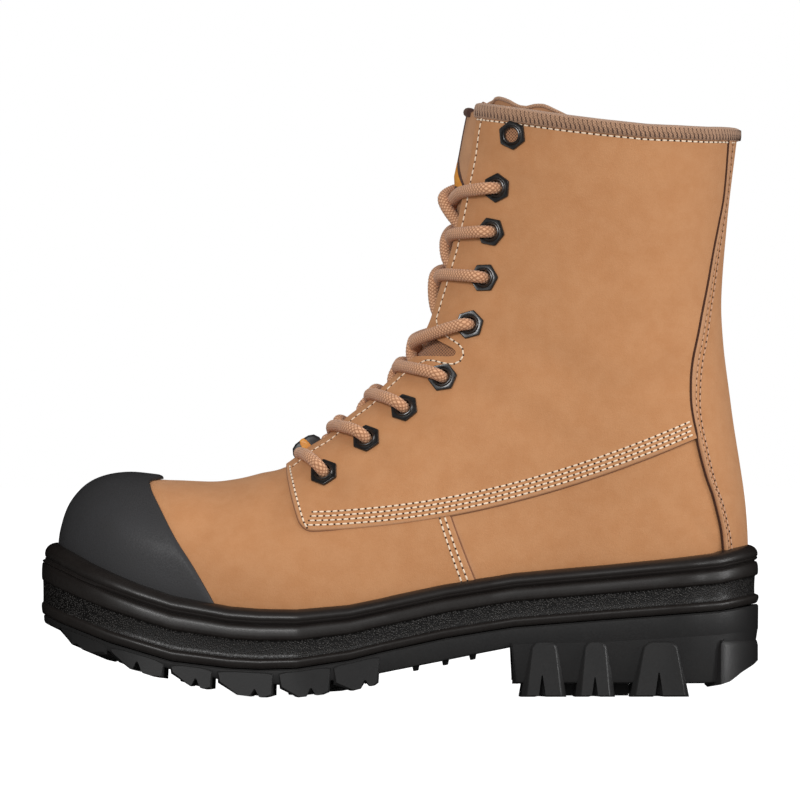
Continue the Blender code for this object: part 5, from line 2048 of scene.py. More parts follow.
@dataclass
class Eyelets:
    """Hexagonal eyelets with a rolled lip round the hole; lining shows through the empty top pair."""

    shop: Workshop
    flats: float = 11.6
    corners: float = 1.135
    seat: float = 0.35
    patch: float = 3.2
    around: int = 48
    turns: tuple[float, ...] = (36.0, 25.0, 48.0, 0.0, 13.0, 6.0, 36.0, 31.0, 30.0)

    def build(self) -> None:
        """Make every eyelet."""
        turn = np.linspace(0, 2 * math.pi, self.around, endpoint=False)
        sector = (turn + math.pi / 6) % (math.pi / 3) - math.pi / 6
        hexagon = np.minimum(self.flats / 2 / np.cos(sector), self.flats / 2 * self.corners)
        profile = [(hexagon * share, up) for share, up in EYELET_FLANGE]
        profile += [(np.full_like(turn, radius), up) for radius, up in EYELET_LIP + EYELET_BARREL]
        for side in Side:
            for index in range(len(EYELETS)):
                centre, out = eyelet_frame(index, side)
                first = unit(np.cross(out, (1.0, 0.0, 0.0)))
                second = np.cross(out, first)
                angle = turn + math.radians(self.turns[index])
                radial = np.cos(angle)[:, None] * first + np.sin(angle)[:, None] * second
                seat = centre + out * (PANEL_FACE + self.seat)
                rings = np.stack([seat + out * up + radial * radius[:, None] for radius, up in profile])
                body = rings_body(rings[::-1], loop=True)
                name = f"eyelet_{side.name[0].lower()}{index + 1}"
                if index == 0:
                    body = Body.joined([body, self.lining(seat, out, first, second)])
                self.shop.make(name + "_hexagon", body, [EYELET_BLACK, LINING], [name], sharp=30.0)

    def lining(self, seat: Array, out: Array, first: Array, second: Array) -> Body:
        """Round patch of mesh lining inside an empty eyelet.

        Args:
            seat: Middle of the eyelet's foot.
            out: Outward direction.
            first: One direction across.
            second: The other direction across.

        Returns:
            The patch.
        """
        count = 17
        steps = np.linspace(-self.patch, self.patch, count)
        a, b = (v.ravel() for v in np.meshgrid(steps, steps, indexing="ij"))
        reach = np.maximum(np.hypot(a, b), 1e-9)
        squeeze = np.maximum(np.abs(a), np.abs(b)) / reach
        a, b = a * squeeze, b * squeeze
        face = seat - out * 0.4 + a[:, None] * first + b[:, None] * second
        body = thicken(face, face - out * 0.5, flipped(grid_faces(count, count))).paint(1)
        if np.dot(np.cross(first, second), out) > 0:
            body.faces = flipped(body.faces)
        body.values = {"along": np.tile(a, 2), "across": np.tile(b, 2)}
        return body


@dataclass
class Laces:
    """Braided lace: seven crossings and the lowest bar, run through the eyelets."""

    shop: Workshop
    radius: float = 2.75
    relief: float = 0.26
    sides: int = 36
    spacing: float = 0.4
    inside: float = -0.6
    far_rise: float = 2.5
    bar_over: Pair = (1.8, 0.8)
    pinch: float = 1.4
    leaving: tuple[Pair, ...] = ((-5.0, -0.3), (-1.0, 0.0), (2.6, 0.3))
    bend: Pair = (1.1, 3.4)
    tuck_across: Pair = (3.4, 5.0)
    tuck_depth: float = -5.6
    behind: Pair = (6.2, 5.6)
    bar_past: float = 1.5

    def braid(self, path: Array) -> Body:
        """Braided tube along a path.

        Args:
            path: Points along its middle.

        Returns:
            The tube.
        """
        carriers, pitch = LACE_BRAID.carriers, LACE_BRAID.pitch

        def radii(reach: Array) -> Array:
            """Radii of the rings at lengths along the lace, lower between the plaits.

            Args:
                reach: Lengths along the lace.

            Returns:
                Radii of rings by sides.
            """
            turn = np.linspace(0, 1, self.sides, endpoint=False)[None, :]
            parts = [(carriers * (turn + sign * reach[:, None] / pitch)) % 1.0 - 0.5 for sign in (1, -1)]
            plait = (1 - 4 * parts[0] ** 2) * (1 - 4 * parts[1] ** 2)
            return self.radius - self.relief * (1 - plait)

        rings, reach, turn = sweep(even_path(path, self.spacing), radii, self.sides)
        body = rings_body(rings[:, ::-1])
        around = np.tile(turn[::-1], len(reach))
        body.values = {"along": np.repeat(reach, self.sides),
                       "turn_x": np.cos(around), "turn_y": np.sin(around)}
        return body

    def beside(self, index: int, row: float, way: float, side: Side, offset: float) -> Array:
        """Point over the leather on the way from an eyelet to the eyestay edge at a row.

        Args:
            index: Number of the eyelet.
            row: Row on the edge.
            way: Share of the way.
            side: Side of the boot.
            offset: Height over the upper.

        Returns:
            The point.
        """
        edge = LASTED.surface(row, 1.0, -1.0)
        x, z = np.array(EYELETS[index]) * (1 - way) + edge[[0, 2]] * way
        s, share = LASTED.place([(x, z)], Gap.OPEN)
        return LASTED.skin(s, share, side.value, offset)[0]

    def emerge(self, index: int, row: float, side: Side, over: float) -> list[Array]:
        """Points where the lace comes out of an eyelet and turns towards the edge.

        Args:
            index: Number of the eyelet.
            row: Row where the lace passes the edge.
            side: Side of the boot.
            over: Height of its middle over the upper.

        Returns:
            Points along its middle.
        """
        centre, out = eyelet_frame(index, side)
        beside = self.beside(index, row, 0.5, side, over)
        ahead = beside - centre
        ahead = unit(ahead - out * float(np.dot(ahead, out)))
        rise, forward = self.bend
        steps = (*self.leaving, (over + rise, forward))
        return [centre + out * up + ahead * on for up, on in steps] + [beside + out * 0.3]

    def strand(self, lacing: LaceRow, side: Side) -> list[Array]:
        """Route of one strand: out of its eyelet, over its edge, across and under the other edge.

        Args:
            lacing: The crossing that it belongs to.
            side: Side of the eyelet that it comes out of.

        Returns:
            Points along its middle.
        """
        far = side is Side.MEDIAL
        top, low = LASTED.edge_row(lacing.over + far * self.far_rise), LASTED.edge_row(lacing.tuck)
        over = PANEL_FACE + self.radius
        sign = side.value
        gap = float(LASTED.half_gap(np.array(low)))
        route = self.emerge(lacing.row - 1, top, side, over)
        route.append(LASTED.skin(np.array([top]), 1.0, sign, over - self.pinch)[0])
        route.append(LASTED.front_point((top + low) / 2, 0.0, lacing.far if far else lacing.near))
        under, past = self.tuck_across
        route.append(LASTED.front_point(low, -sign * (gap - under), self.inside))
        other = Side.MEDIAL if side is Side.LATERAL else Side.LATERAL
        centre, out = eyelet_frame(min(lacing.row, len(EYELETS) - 1), other)
        tucked = LASTED.front_point(low, -sign * (gap + past), self.tuck_depth)
        halfway, end = self.behind
        return route + [tucked, 0.5 * (tucked + centre - out * halfway), centre - out * end]

    def build(self) -> None:
        """Make every crossing and the bar."""
        for lacing in LACING:
            strands = [self.braid(smooth_path(self.strand(lacing, side), 240)) for side in Side]
            name = f"lace_crossing_{lacing.row - 1}"
            self.shop.make(name + "_braid", Body.joined(strands), [LACE_BRAID], [name], sharp=70.0)
        over = PANEL_FACE + self.radius
        reach = float(LASTED.half_gap(np.array(KEEPER_ROW))) + self.bar_past
        last = len(EYELETS) - 1
        edge, middle = self.bar_over
        bar = [LASTED.front_point(KEEPER_ROW, across, height)
               for across, height in ((-reach, edge), (0.0, middle), (reach, edge))]
        left = self.emerge(last, KEEPER_ROW, Side.LATERAL, over)
        right = self.emerge(last, KEEPER_ROW, Side.MEDIAL, over)
        path = smooth_path(left + bar + right[::-1], 300)
        self.shop.make("lace_bar_braid", self.braid(path), [LACE_BRAID], ["lace_bar"], sharp=70.0)


@dataclass
class LaceKeeper:
    """Plain moulded keeper over the lowest bar, with an orange band in its middle."""

    shop: Workshop
    half_length: float = 7.0
    half_width: float = 9.0
    low: float = -0.8
    high: float = 5.8
    shift: float = 3.6
    edge: float = 0.9
    band_half: float = 2.1

    def axes(self) -> tuple[Array, Array, Array]:
        """Middle of the keeper's foot, direction along the boot, and outward direction.

        Returns:
            The point and both directions.
        """
        out = LASTED.normal(np.array([KEEPER_ROW]), 1.0, -1.0, Gap.CLOSED)[0]
        along = np.array([out[2], 0.0, -out[0]])
        return LASTED.front_point(KEEPER_ROW, 0.0, 0.0) + along * self.shift, along, out

    def block(self, half_width: float, grow: float) -> Body:
        """Rounded slab across the boot.

        Args:
            half_width: Half its size across.
            grow: How far it stands outside the keeper.

        Returns:
            The slab.
        """
        origin, along, out = self.axes()
        half, top, edge = self.half_length + grow, self.high + grow, self.edge
        rise = [(-half, self.low), (-half, top - 3.6), (-half + 1.4, top - 1.2), (-half + 3.6, top - 0.2)]
        corners = rise + [(0.0, top)] + [(-p, q) for p, q in reversed(rise)]
        ends = ((half_width, edge), (half_width - 0.35 * edge, 0.3 * edge), (half_width - edge, 0.0))
        rings = []
        for y, pinch in [(-y, pinch) for y, pinch in ends] + list(reversed(ends)):
            rings.append([origin + along * (p * (1 - pinch / half)) + out * (q - pinch * (q > self.low))
                          + np.array([0.0, y, 0.0]) for p, q in corners])
        return rings_body(np.array(rings))

    def build(self) -> Object:
        """Make the keeper with its band.

        Returns:
            The piece.
        """
        body = self.block(self.half_width, 0.0).paint(0)
        band = self.block(self.half_width + 0.25, 0.18).paint(1)
        origin, along, _ = self.axes()
        place = (band.points - origin) @ along
        band.points = band.points + np.outer(place * (self.band_half / self.half_length - 1), along)
        return self.shop.make("lace_keeper_moulding", Body.joined([body, band]), [KEEPER_BLACK, ORANGE_BAND],
                              ["lace_keeper"], sharp=40.0)


@dataclass
class Tongue:
    """Padded tongue behind the lacing gap, its mesh gusset, a dark top roll, tape edges and a plain tab."""

    shop: Workshop
    rows: int = 130
    columns: int = 81
    depth: tuple[Pair, ...] = ((118.0, 4.5), (146.0, 1.6), (168.0, 1.6), (190.0, 4.5))
    flare: tuple[Pair, ...] = ((7.0, 15.0), (12.0, 17.0), (16.0, 20.0), (19.0, 28.5))
    swell: float = 3.4
    swell_heights: Pair = (198.0, 226.0)
    sink_from: float = 238.0
    seam_from: float = 209.0
    roll: float = 2.1
    roll_end: float = 0.14
    tape_radius: float = 0.9
    mesh_below: float = 205.0
    tab_rows: Pair = (222.0, 232.5)
    tab_half: float = 0.26
    gusset: Pair = (138.0, 176.0)
    gusset_from: float = 0.66
    gusset_depth: Pair = (0.15, 0.8)
    edge_share: float = 0.1
    edge_wall: float = 0.3
    top_line: tuple[Pair, ...] = (
        (0.0, -3.4), (0.14, -3.4), (0.24, -2.0), (0.33, 2.0), (0.40, 4.2), (0.46, 4.6), (0.56, 4.2),
        (0.64, 3.4), (0.74, 1.6), (0.80, 1.6), (0.86, 3.2), (0.91, 3.6), (0.97, 1.6), (1.0, 0.2))

    def outer(self, s: Array, across: Array) -> Array:
        """Points of the tongue's face.

        Args:
            s: Row numbers; past the collar row, the face rises to the top line.
            across: Places from the lateral edge (-1) to the medial edge (1).

        Returns:
            Points, with x, y and z in the last axis.
        """
        gap = LASTED.half_gap(s, Gap.LONG)
        width = gap + np.interp(s, *np.array(self.flare).T)
        deep = self.depth[-1][1]
        raised = deep - np.interp(s, [LASTED.edge_row(z) for z, _ in self.depth], [d for _, d in self.depth])
        swell = np.interp(s, [LASTED.edge_row(z) for z in self.swell_heights], (0.0, self.swell + deep))
        dome = np.clip(1 - (np.abs(across) * width / (gap + 1.5)) ** 2, 0.0, 1.0)
        points = LASTED.front(np.minimum(s, COLLAR_ROW), across * width, (swell + raised) * dome - deep)
        rise = unit(LASTED.surface(COLLAR_ROW, 1.0, -1.0) - LASTED.surface(COLLAR_ROW - 0.2, 1.0, -1.0))
        level = np.interp(np.abs(across), *np.array(self.top_line).T)
        past = np.clip(s - COLLAR_ROW, 0.0, 1.0)
        sink = np.interp(s, (LASTED.edge_row(self.sink_from), COLLAR_ROW), (0.0, 1.0))
        lift = np.where(level < 0, level * sink + 0.1 * past, level * past)
        return points + lift[..., None] * rise

    def build(self) -> Object:
        """Make the tongue.

        Returns:
            The piece.
        """
        levels = np.concatenate([np.linspace(THROAT_ROW - 0.4, COLLAR_ROW, self.rows - 8),
                                 COLLAR_ROW + np.linspace(0, 1, 9)[1:]])
        s, across = np.meshgrid(levels, np.linspace(-1, 1, self.columns), indexing="ij")
        face = self.outer(s, across)
        out = self.facing(face)
        side_edge = np.sqrt(np.clip((1 - np.abs(across)) / self.edge_share, 0.0, 1.0))
        top_edge = np.sqrt(np.clip((COLLAR_ROW + 1 - s) / 0.9, 0.0, 1.0))
        wall = TONGUE_WALL * (self.edge_wall + (1 - self.edge_wall) * side_edge * top_edge)
        back = face - out * wall[..., None]
        faces, height = grid_faces(self.rows, self.columns), face[..., 2].ravel()
        body = thicken(face.reshape(-1, 3), back.reshape(-1, 3), faces, inner_slot=1)
        body.values = {"edge": np.zeros(2 * s.size), "along": np.tile(height, 2),
                       "across": np.tile(face[..., 1].ravel(), 2)}
        body.slots[:len(faces)] = [int(height[corners[0]] < self.mesh_below) for corners in faces]
        bodies = [body, self.middle_seam(), self.patch(0.05, 0.0, 1.2, 2), self.patch(0.0, 0.25, 0.0, 3)]
        bodies += [self.bellows(side) for side in Side]
        place, top = np.linspace(-1, 1, self.columns), face[-1]
        bodies.append(self.pipe(top[np.abs(place) <= self.roll_end], self.roll, 2))
        for sign in (-1, 1):
            bodies.append(self.pipe(top[sign * place >= self.roll_end + 0.1], self.tape_radius, 4))
        piece = self.shop.make("tongue_padding", Body.joined(bodies),
                               [PADDING, LINING, DARK_EDGE, ORANGE_BAND, TAPE], ["tongue"], sharp=50.0)
        return piece

    @staticmethod
    def facing(face: Array) -> Array:
        """Outward unit normals of a grid over the tongue."""
        return unit(np.cross(np.gradient(face, axis=0), np.gradient(face, axis=1)))

    @staticmethod
    def pipe(path: Array, radius: float, slot: int) -> Body:
        """Round piping along a path.

        Args:
            path: Points along its middle.
            radius: Its radius.
            slot: Its finish number.

        Returns:
            The piping.
        """
        body, reach, turn = tube(path, 0.7, radius, 12)
        body.values = {"along": np.repeat(reach, len(turn)), "across": np.tile(turn * radius, len(reach))}
        return body.paint(slot)

    def middle_seam(self) -> Body:
        """Fine dark cord down the middle of the padded part."""
        s = np.linspace(LASTED.edge_row(self.seam_from), COLLAR_ROW, 70)
        return self.pipe(self.outer(s, np.zeros_like(s)), 0.5, 2)

    def bellows(self, side: Side) -> Body:
        """Mesh gusset behind a flex notch, against the inside of the upper.

        Args:
            side: Side of the boot.

        Returns:
            The gusset.
        """
        rows = [LASTED.edge_row(z) for z in self.gusset]
        s, share = np.meshgrid(np.linspace(*rows, 40), np.linspace(self.gusset_from, 1.0, 34), indexing="ij")
        faces = grid_faces(*s.shape)
        if side is Side.MEDIAL:
            faces = flipped(faces)
        sheet = SkinSheet(s.ravel(), share.ravel(), np.full(s.size, side.value), faces, Gap.OPEN)
        body = sheet.wall(*(-WALL - depth for depth in self.gusset_depth)).paint(1)
        face = LASTED.surface(sheet.s, sheet.share, sheet.side)
        body.values = {"along": np.tile(face[:, 2], 2), "across": np.tile(face[:, 0], 2)}
        return body

    def patch(self, wider: float, lift: float, taller: float, slot: int) -> Body:
        """Plain pointed patch on the padded part.

        Args:
            wider: How far it is grown across.
            lift: How far it stands off the face.
            taller: How far it is grown up and down.
            slot: Its finish number.

        Returns:
            The patch.
        """
        low, high = self.tab_rows
        up = np.linspace(0, 1, 16)[:, None]
        share = np.linspace(-1, 1, 24)[None, :]
        row = LASTED.edge_row(low - taller) * (1 - up) + LASTED.edge_row(high + taller) * up
        across = share * (self.tab_half * (1.02 - up) + wider)
        face = self.outer(row + 0 * share, across)
        out = self.facing(face)
        return thicken((face + out * (lift + 0.3)).reshape(-1, 3), (face - out * 0.1).reshape(-1, 3),
                       grid_faces(*across.shape)).paint(slot)


@dataclass
class Insole:
    """Felt footbed, dished a little across."""

    shop: Workshop
    stations: int = 90
    across: int = 17
    clear: float = 2.7
    dish: float = 1.6
    edge_share: float = 0.12
    edge_drop: float = 1.2

    def build(self) -> Object:
        """Make the footbed.

        Returns:
            The piece.
        """
        rows = np.linspace(0.25, HEEL_ROW - 0.02, self.stations)
        left, right = (LASTED.surface(rows, 0.0, sign) for sign in (-1.0, 1.0))
        inset = WALL + self.clear
        width = right[:, 1] - left[:, 1]
        keep = width > 2 * inset + 2
        left, right = left[keep] + (0.0, inset, 0.0), right[keep] - (0.0, inset, 0.0)
        share = np.linspace(0, 1, self.across)[None, :, None]
        grid = left[:, None, :] * (1 - share) + right[:, None, :] * share
        dish = -self.dish * np.sin(math.pi * share[..., 0]) * np.ones((len(left), 1))
        edge = np.minimum(np.minimum(share[..., 0], 1 - share[..., 0]) / self.edge_share, 1.0)
        top, low = grid.copy(), grid.copy()
        top[..., 2] += INSOLE_THICK + dish - self.edge_drop * (1 - np.sqrt(1 - (1 - edge) ** 2))
        low[..., 2] -= 0.5
        body = thicken(top.reshape(-1, 3), low.reshape(-1, 3), grid_faces(*grid.shape[:2]))
        body.faces = flipped(body.faces)
        body.values = {"along": np.tile(grid[..., 0].ravel(), 2), "across": np.tile(grid[..., 1].ravel(), 2)}
        return self.shop.make("insole_felt", body, [FOOTBED], ["insole"])


# Sole

class BandRow(NamedTuple):
    """Point of the midsole's side: height from parting line to rim, inset, and pebbling."""

    height: float
    inset: float
    pebble: float = 0.0


MIDSOLE_BANDS = [
    BandRow(0.000, 2.0), BandRow(0.008, 1.2), BandRow(0.022, 0.75), BandRow(0.050, 0.35),
    BandRow(0.090, 0.05), BandRow(0.120, 0.0), BandRow(0.142, 0.25), BandRow(0.156, 0.85),
    BandRow(0.164, 1.6), BandRow(0.176, 1.85, 1.0), BandRow(0.250, 1.9, 1.0), BandRow(0.340, 1.85, 1.0),
    BandRow(0.440, 1.7, 1.0), BandRow(0.468, 1.6, 1.0), BandRow(0.478, 1.2), BandRow(0.490, 0.6),
    BandRow(0.510, 0.3), BandRow(0.560, 0.2), BandRow(0.640, 0.3), BandRow(0.690, 0.6),
    BandRow(0.712, 1.0), BandRow(0.720, 1.7), BandRow(0.730, 1.9), BandRow(0.740, 1.5),
    BandRow(0.752, 0.95), BandRow(0.775, 0.6), BandRow(0.788, 0.55), BandRow(0.796, 0.85),
    BandRow(0.806, 0.8), BandRow(0.820, 0.5), BandRow(0.860, 0.45), BandRow(0.905, 0.8),
    BandRow(0.945, 1.6), BandRow(0.972, 2.6), BandRow(0.990, 3.7), BandRow(1.000, 5.0),
]


@dataclass
class Midsole:
    """Cup with a rolled rim, a smooth band, a pebbled band and a lower ridge, shallower at the toe."""

    shop: Workshop
    stations: int = 230
    toe_from: float = -126.0
    toe_length: float = 28.0
    toe_flush: float = 0.6
    rim_from: float = 0.76
    least_lip: float = 5.2
    ray_start: float = 3.0
    ray_length: float = 50.0

    def lip(self, plan: Array, pieces: list[Object]) -> Array:
        """Inset at which the rim meets what stands in the cup.

        Args:
            plan: Outline in plan.
            pieces: Pieces that stand in the cup.

        Returns:
            Inset for each point of the outline.
        """
        trees = [BVHTree.FromPolygons([v.co for v in piece.data.vertices],
                                      [tuple(p.vertices) for p in piece.data.polygons]) for piece in pieces]
        inward = SOLE.inset(plan, 1.0) - plan
        reach = []
        for (x, y), (dx, dy) in zip(plan, inward):
            z = float(SOLE.line("rim", np.array(x))) - 0.3
            back = self.ray_start
            start = Vector(((x - back * dx) * MM, (y - back * dy + SIDE_SHIFT) * MM, z * MM))
            hits = [tree.ray_cast(start, Vector((dx, dy, 0.0)), self.ray_length * MM)[3] for tree in trees]
            found = [hit / MM - back for hit in hits if hit is not None]
            reach.append(min(found) if found else np.nan)
        reach = np.array(reach)
        good = np.isfinite(reach)
        places = np.arange(len(plan))
        return np.interp(places, places[good], reach[good], period=len(plan))

    def build(self, pieces: list[Object]) -> Object:
        """Make the cup round the pieces that stand in it.

        Args:
            pieces: Pieces that stand in the cup.

        Returns:
            The piece.
        """
        plan = SOLE.outline(self.stations)
        low, high = SOLE.line("parting", plan[:, 0]), SOLE.line("rim", plan[:, 0])
        met = np.maximum(self.lip(plan, pieces), self.least_lip)
        rings, pebble, edge = [], [], []
        toe = np.clip((self.toe_from - plan[:, 0]) / self.toe_length, 0.0, 1.0)
        for band in MIDSOLE_BANDS:
            on_side = band.height < self.rim_from
            inset = band.inset * (1 - self.toe_flush * toe) if on_side else band.inset + toe
            rings.append((SOLE.inset(plan, inset), low + band.height * (high - low)))
            pebble.append(band.pebble)
            edge.append(float(band.inset < 0.6))
        inner = met + 0.9
        for distance, height in ((0.55 * (5.0 + met), high + 0.1), (inner, high - 0.2),
                                 (inner + 0.3, high - 4.0), (np.maximum(inner + 3.0, 13.0), low + 6.0),
                                 (np.full_like(met, 14.0), low)):
            rings.append((SOLE.inset(plan, distance), height))
            pebble.append(0.0)
            edge.append(0.0)
        points = np.stack([np.column_stack([flat, height]) for flat, height in rings])
        body = rings_body(points[::-1], loop=True)
        count = len(plan)
        body.values = {"pebble": np.repeat(pebble[::-1], count), "edge": np.repeat(edge[::-1], count)}
        return self.shop.make("midsole_cup", body, [MIDSOLE_FOAM], ["midsole"], sharp=55.0)


class LugRow(NamedTuple):
    """Side lug: ends of its foot, its notch, how its head narrows, and the lift of its rear end."""

    start: float
    end: float
    notch: float
    notch_height: float
    taper: float
    lift: float = 1.0


FOREFOOT_LUGS = [
    LugRow(-150.5, -129.6, -142.5, 1.5, -0.5, 3.2),
    LugRow(-127.0, -104.0, -115.3, 5.0, -0.5),
    LugRow(-100.2, -82.8, -89.3, 4.5, -0.5),
    LugRow(-79.6, -56.0, -63.3, 4.0, -0.5),
    LugRow(-52.5, -31.0, -38.6, 4.0, -0.8),
    LugRow(-28.5, -9.5, -14.8, 4.0, -0.8),
]
HEEL_LUGS = [
    LugRow(54.0, 72.5, 62.0, 11.0, 3.2),
    LugRow(77.8, 93.7, 85.5, 10.0, 2.6),
    LugRow(101.7, 127.0, 113.5, 12.5, 4.6),
]


class BarRow(NamedTuple):
    """Chevron bar across the tread."""

    x: float
    half_width: float
    length: float


FOREFOOT_BARS = [BarRow(-121.0, 24.0, 8.0), BarRow(-94.6, 27.0, 6.0), BarRow(-71.5, 28.0, 7.5),
                 BarRow(-46.0, 26.0, 7.5), BarRow(-31.0, 24.0, 9.0)]
HEEL_BARS = [BarRow(65.0, 16.0, 10.0), BarRow(86.0, 15.0, 10.0), BarRow(108.0, 14.0, 10.0)]
ARCH_RIBS = (7.0, 20.0, 32.0)
RIB_SECTION = ((-2.0, 2.0), (-1.2, -2.0), (-0.8, -2.2), (0.8, -2.2), (1.2, -2.0), (2.0, 2.0))
RIB_ENDS = (-36.0, 32.0)


@dataclass
class Outsole:
    """Tread slab, heel block, notched side lugs, chevron bars and arch ribs."""

    shop: Workshop
    stations: int = 170
    heel_breast: float = 47.5
    heel_floor: float = 5.8
    wall_inset: float = 1.1
    rear_flush: float = 0.85
    heel_inset: float = 2.8
    heel_lug_top: float = 25.0
    heel_rear: float = 138.0
    lug_depth: float = 17.0
    lug_face: float = 0.3
    notch_half: float = 2.3
    notch_rise: float = 0.8
    front_bevel: float = 1.1
    heel_bevel: float = 2.7
    rear_bevel: float = 2.8
    chamfer: Pair = (8.2, 4.4)
    through: float = 0.9
    bevel: tuple[Pair, ...] = ((126.4, 1.4), (134.7, 4.0), (140.0, 4.9), (145.3, 6.6),
                                              (150.6, 10.6), (155.9, 13.7), (162.0, 18.5))
    rear_wall: Pair = (143.0, 153.0)
    front_lean: float = 3.6

    def side_frame(self, x: Array, side: Side) -> tuple[Array, Array]:
        """Outline points and inward plan directions at places along one side."""
        along = SOLE.edge(x + 0.5, side) - SOLE.edge(x - 0.5, side)
        return SOLE.edge(x, side), unit(np.stack([along[:, 1], -along[:, 0]], axis=1) * side.value)

    def wall(self, x: Array) -> Array:
        """Inset of the side wall at places along the sole, less behind the heel."""
        return self.wall_inset - self.rear_flush * np.interp(x, self.rear_wall, (0.0, 1.0))

    def tread(self, x: Array) -> Array:
        """Height of the tread."""
        return SOLE.line("tread", x)

    def root(self, x: Array) -> Array:
        """Height at which forefoot bars and the heel block end, inside the slab."""
        return SOLE.line("base", x) + 2.0

    def ceiling(self, x: Array) -> Array:
        """Height of the forefoot lugs' heads."""
        return SOLE.line("parting", x) - 1.3

    def heel_head(self, x: Array) -> Array:
        """Height of the heel lugs' heads."""
        return np.full_like(x, self.heel_lug_top)

    def heel_root(self, x: Array) -> Array:
        """Height at which heel bars end, inside the heel block."""
        return np.full_like(x, self.heel_floor + 1.0)

    def under_bevel(self, points: Array) -> Array:
        """Points behind the heel lifted to its rear bevel.

        Args:
            points: Points of the heel.

        Returns:
            The points, lifted where they need it.
        """
        x, z = np.array(self.bevel).T
        floor = np.where(points[:, 0] > x[0], np.interp(points[:, 0], x, z), -1.0)
        lifted = points.copy()
        lifted[:, 2] = np.maximum(points[:, 2], floor)
        return lifted

    def lug(self, row: LugRow, side: Side, top: Callable[[Array], Array], bevel: float,
            chamfer: Pair | None = None) -> Body:
        """Notched block with a bevelled face.

        Args:
            row: Its place and shape.
            side: Side of the sole.
            top: Height of its head from x.
            bevel: Width and depth of the bevel round its face.
            chamfer: Length and height of the cut at its toe end.

        Returns:
            The block.
        """
        slit = self.notch_half
        foot = np.array([row.start, (row.start + row.notch - slit) / 2, row.notch - slit, row.notch - 0.4,
                         row.notch + 0.4, row.notch + slit, (row.end + row.notch + slit) / 2, row.end])
        lift = self.notch_rise * row.notch_height * np.array([0.0, 0.0, 0.0, 1.0, 1.0, 0.0, 0.0, 0.0])
        if chamfer:
            foot[1] = min(row.start + chamfer[0], row.notch - slit - 0.3)
            lift[[0, -2, -1]] = chamfer[1], 0.3 * (row.lift - 1.0), row.lift
        head = np.linspace(row.start + row.taper, row.end - row.taper, len(foot))
        drop = (0.35 if chamfer else 1.0) * np.array([2.4, 0.5, 0.0, 0.0, 0.0, 0.0, 0.5, 2.4])
        x = np.concatenate([foot, head[::-1]])
        is_head = np.arange(len(x)) >= len(foot)
        middle = (row.start + row.end) / 2
        away = np.clip(np.abs(x - middle) / (0.3 * (row.end - row.start)), 0.0, 1.0) * np.sign(x - middle)
        rings = []
        for inward, pinch, cut in ((0.0, 0.72, 1.0), (0.12, 0.5, 1.0), (0.3, 0.36, 1.0), (1.0, -0.25, 0.8),
                                   (1.6, -0.3, 0.15), (self.lug_depth / bevel, -0.3, 0.0)):
            at = x - away * pinch * bevel * np.where(is_head, 0.6, 1.0)
            point, direction = self.side_frame(at, side)
            plan = point + direction * (self.lug_face + inward * bevel)
            cut = max(cut, self.through) if chamfer else cut
            rise = np.concatenate([lift * cut, -drop[::-1]]) + np.where(is_head, -0.6, 0.35) * pinch * bevel
            z = np.where(is_head, top(plan[:, 0]), self.tread(plan[:, 0])) + rise
            rings.append(np.column_stack([plan, np.maximum(z, self.tread(plan[:, 0]))]))
        rings = np.array(rings)
        return self.strip_ends(rings if side is Side.MEDIAL else rings[:, ::-1])

    @staticmethod
    def strip_ends(rings: Array) -> Body:
        """Body through rings whose ends are covered across in strips.

        Args:
            rings: Array of rings, points and coordinates.

        Returns:
            The body.
        """
        body = rings_body(rings, cap=False)
        count, size = rings.shape[:2]
        for start, turn in ((0, True), ((count - 1) * size, False)):
            for i in range(size // 2 - 1):
                face = (start + i, start + i + 1, start + size - 2 - i, start + size - 1 - i)
                body.faces.append(tuple(reversed(face)) if turn else face)
        return body

    def bar(self, row: BarRow, top: Callable[[Array], Array]) -> Body:
        """Chevron bar with a narrower foot.

        Args:
            row: Its place and size.
            top: Height of its root from x.

        Returns:
            The bar.
        """
        centre = float(np.interp(row.x, [p.x for p in SOLE_PLAN], [p.centre for p in SOLE_PLAN]))
        sweep_x = row.length / 2
        y = np.linspace(-row.half_width, row.half_width, 9)
        lead = row.x + sweep_x * (2 * np.abs(y) / row.half_width - 1)
        rings = []
        for level, pinch in ((top, 0.0), (self.tread, 0.6)):
            plan_x = np.concatenate([lead + pinch, (lead + row.length - pinch)[::-1]])
            plan_y = centre + np.concatenate([y, y[::-1]]) * (1 - pinch / row.half_width)
            rings.append(np.column_stack([plan_x, plan_y, level(plan_x)]))
        rings.insert(1, rings[1] * 0.82 + rings[0] * 0.18)
        rings[1][:, :2] = rings[0][:, :2]
        return self.strip_ends(np.array(rings)[:, ::-1])

    def slab(self, plan: Array, levels: list[tuple[float, Array]]) -> Body:
        """Body of an outline through levels of inset and height, closed by strips.

        Args:
            plan: Closed outline in plan.
            levels: Insets and heights from one end to the other.

        Returns:
            The body.
        """
        rings = [np.column_stack([SOLE.inset(plan, inset), height]) for inset, height in levels]
        body = rings_body(np.array(rings), cap=False)
        count = len(plan)
        for start, turn in ((0, True), ((len(levels) - 1) * count, False)):
            for i in range(count // 2):
                corners = (i, i + 1, (count - i - 1) % count, (count - i) % count)
                face = tuple(dict.fromkeys(start + corner for corner in corners))
                if len(face) > 2:
                    body.faces.append(tuple(reversed(face)) if turn else face)
        return body

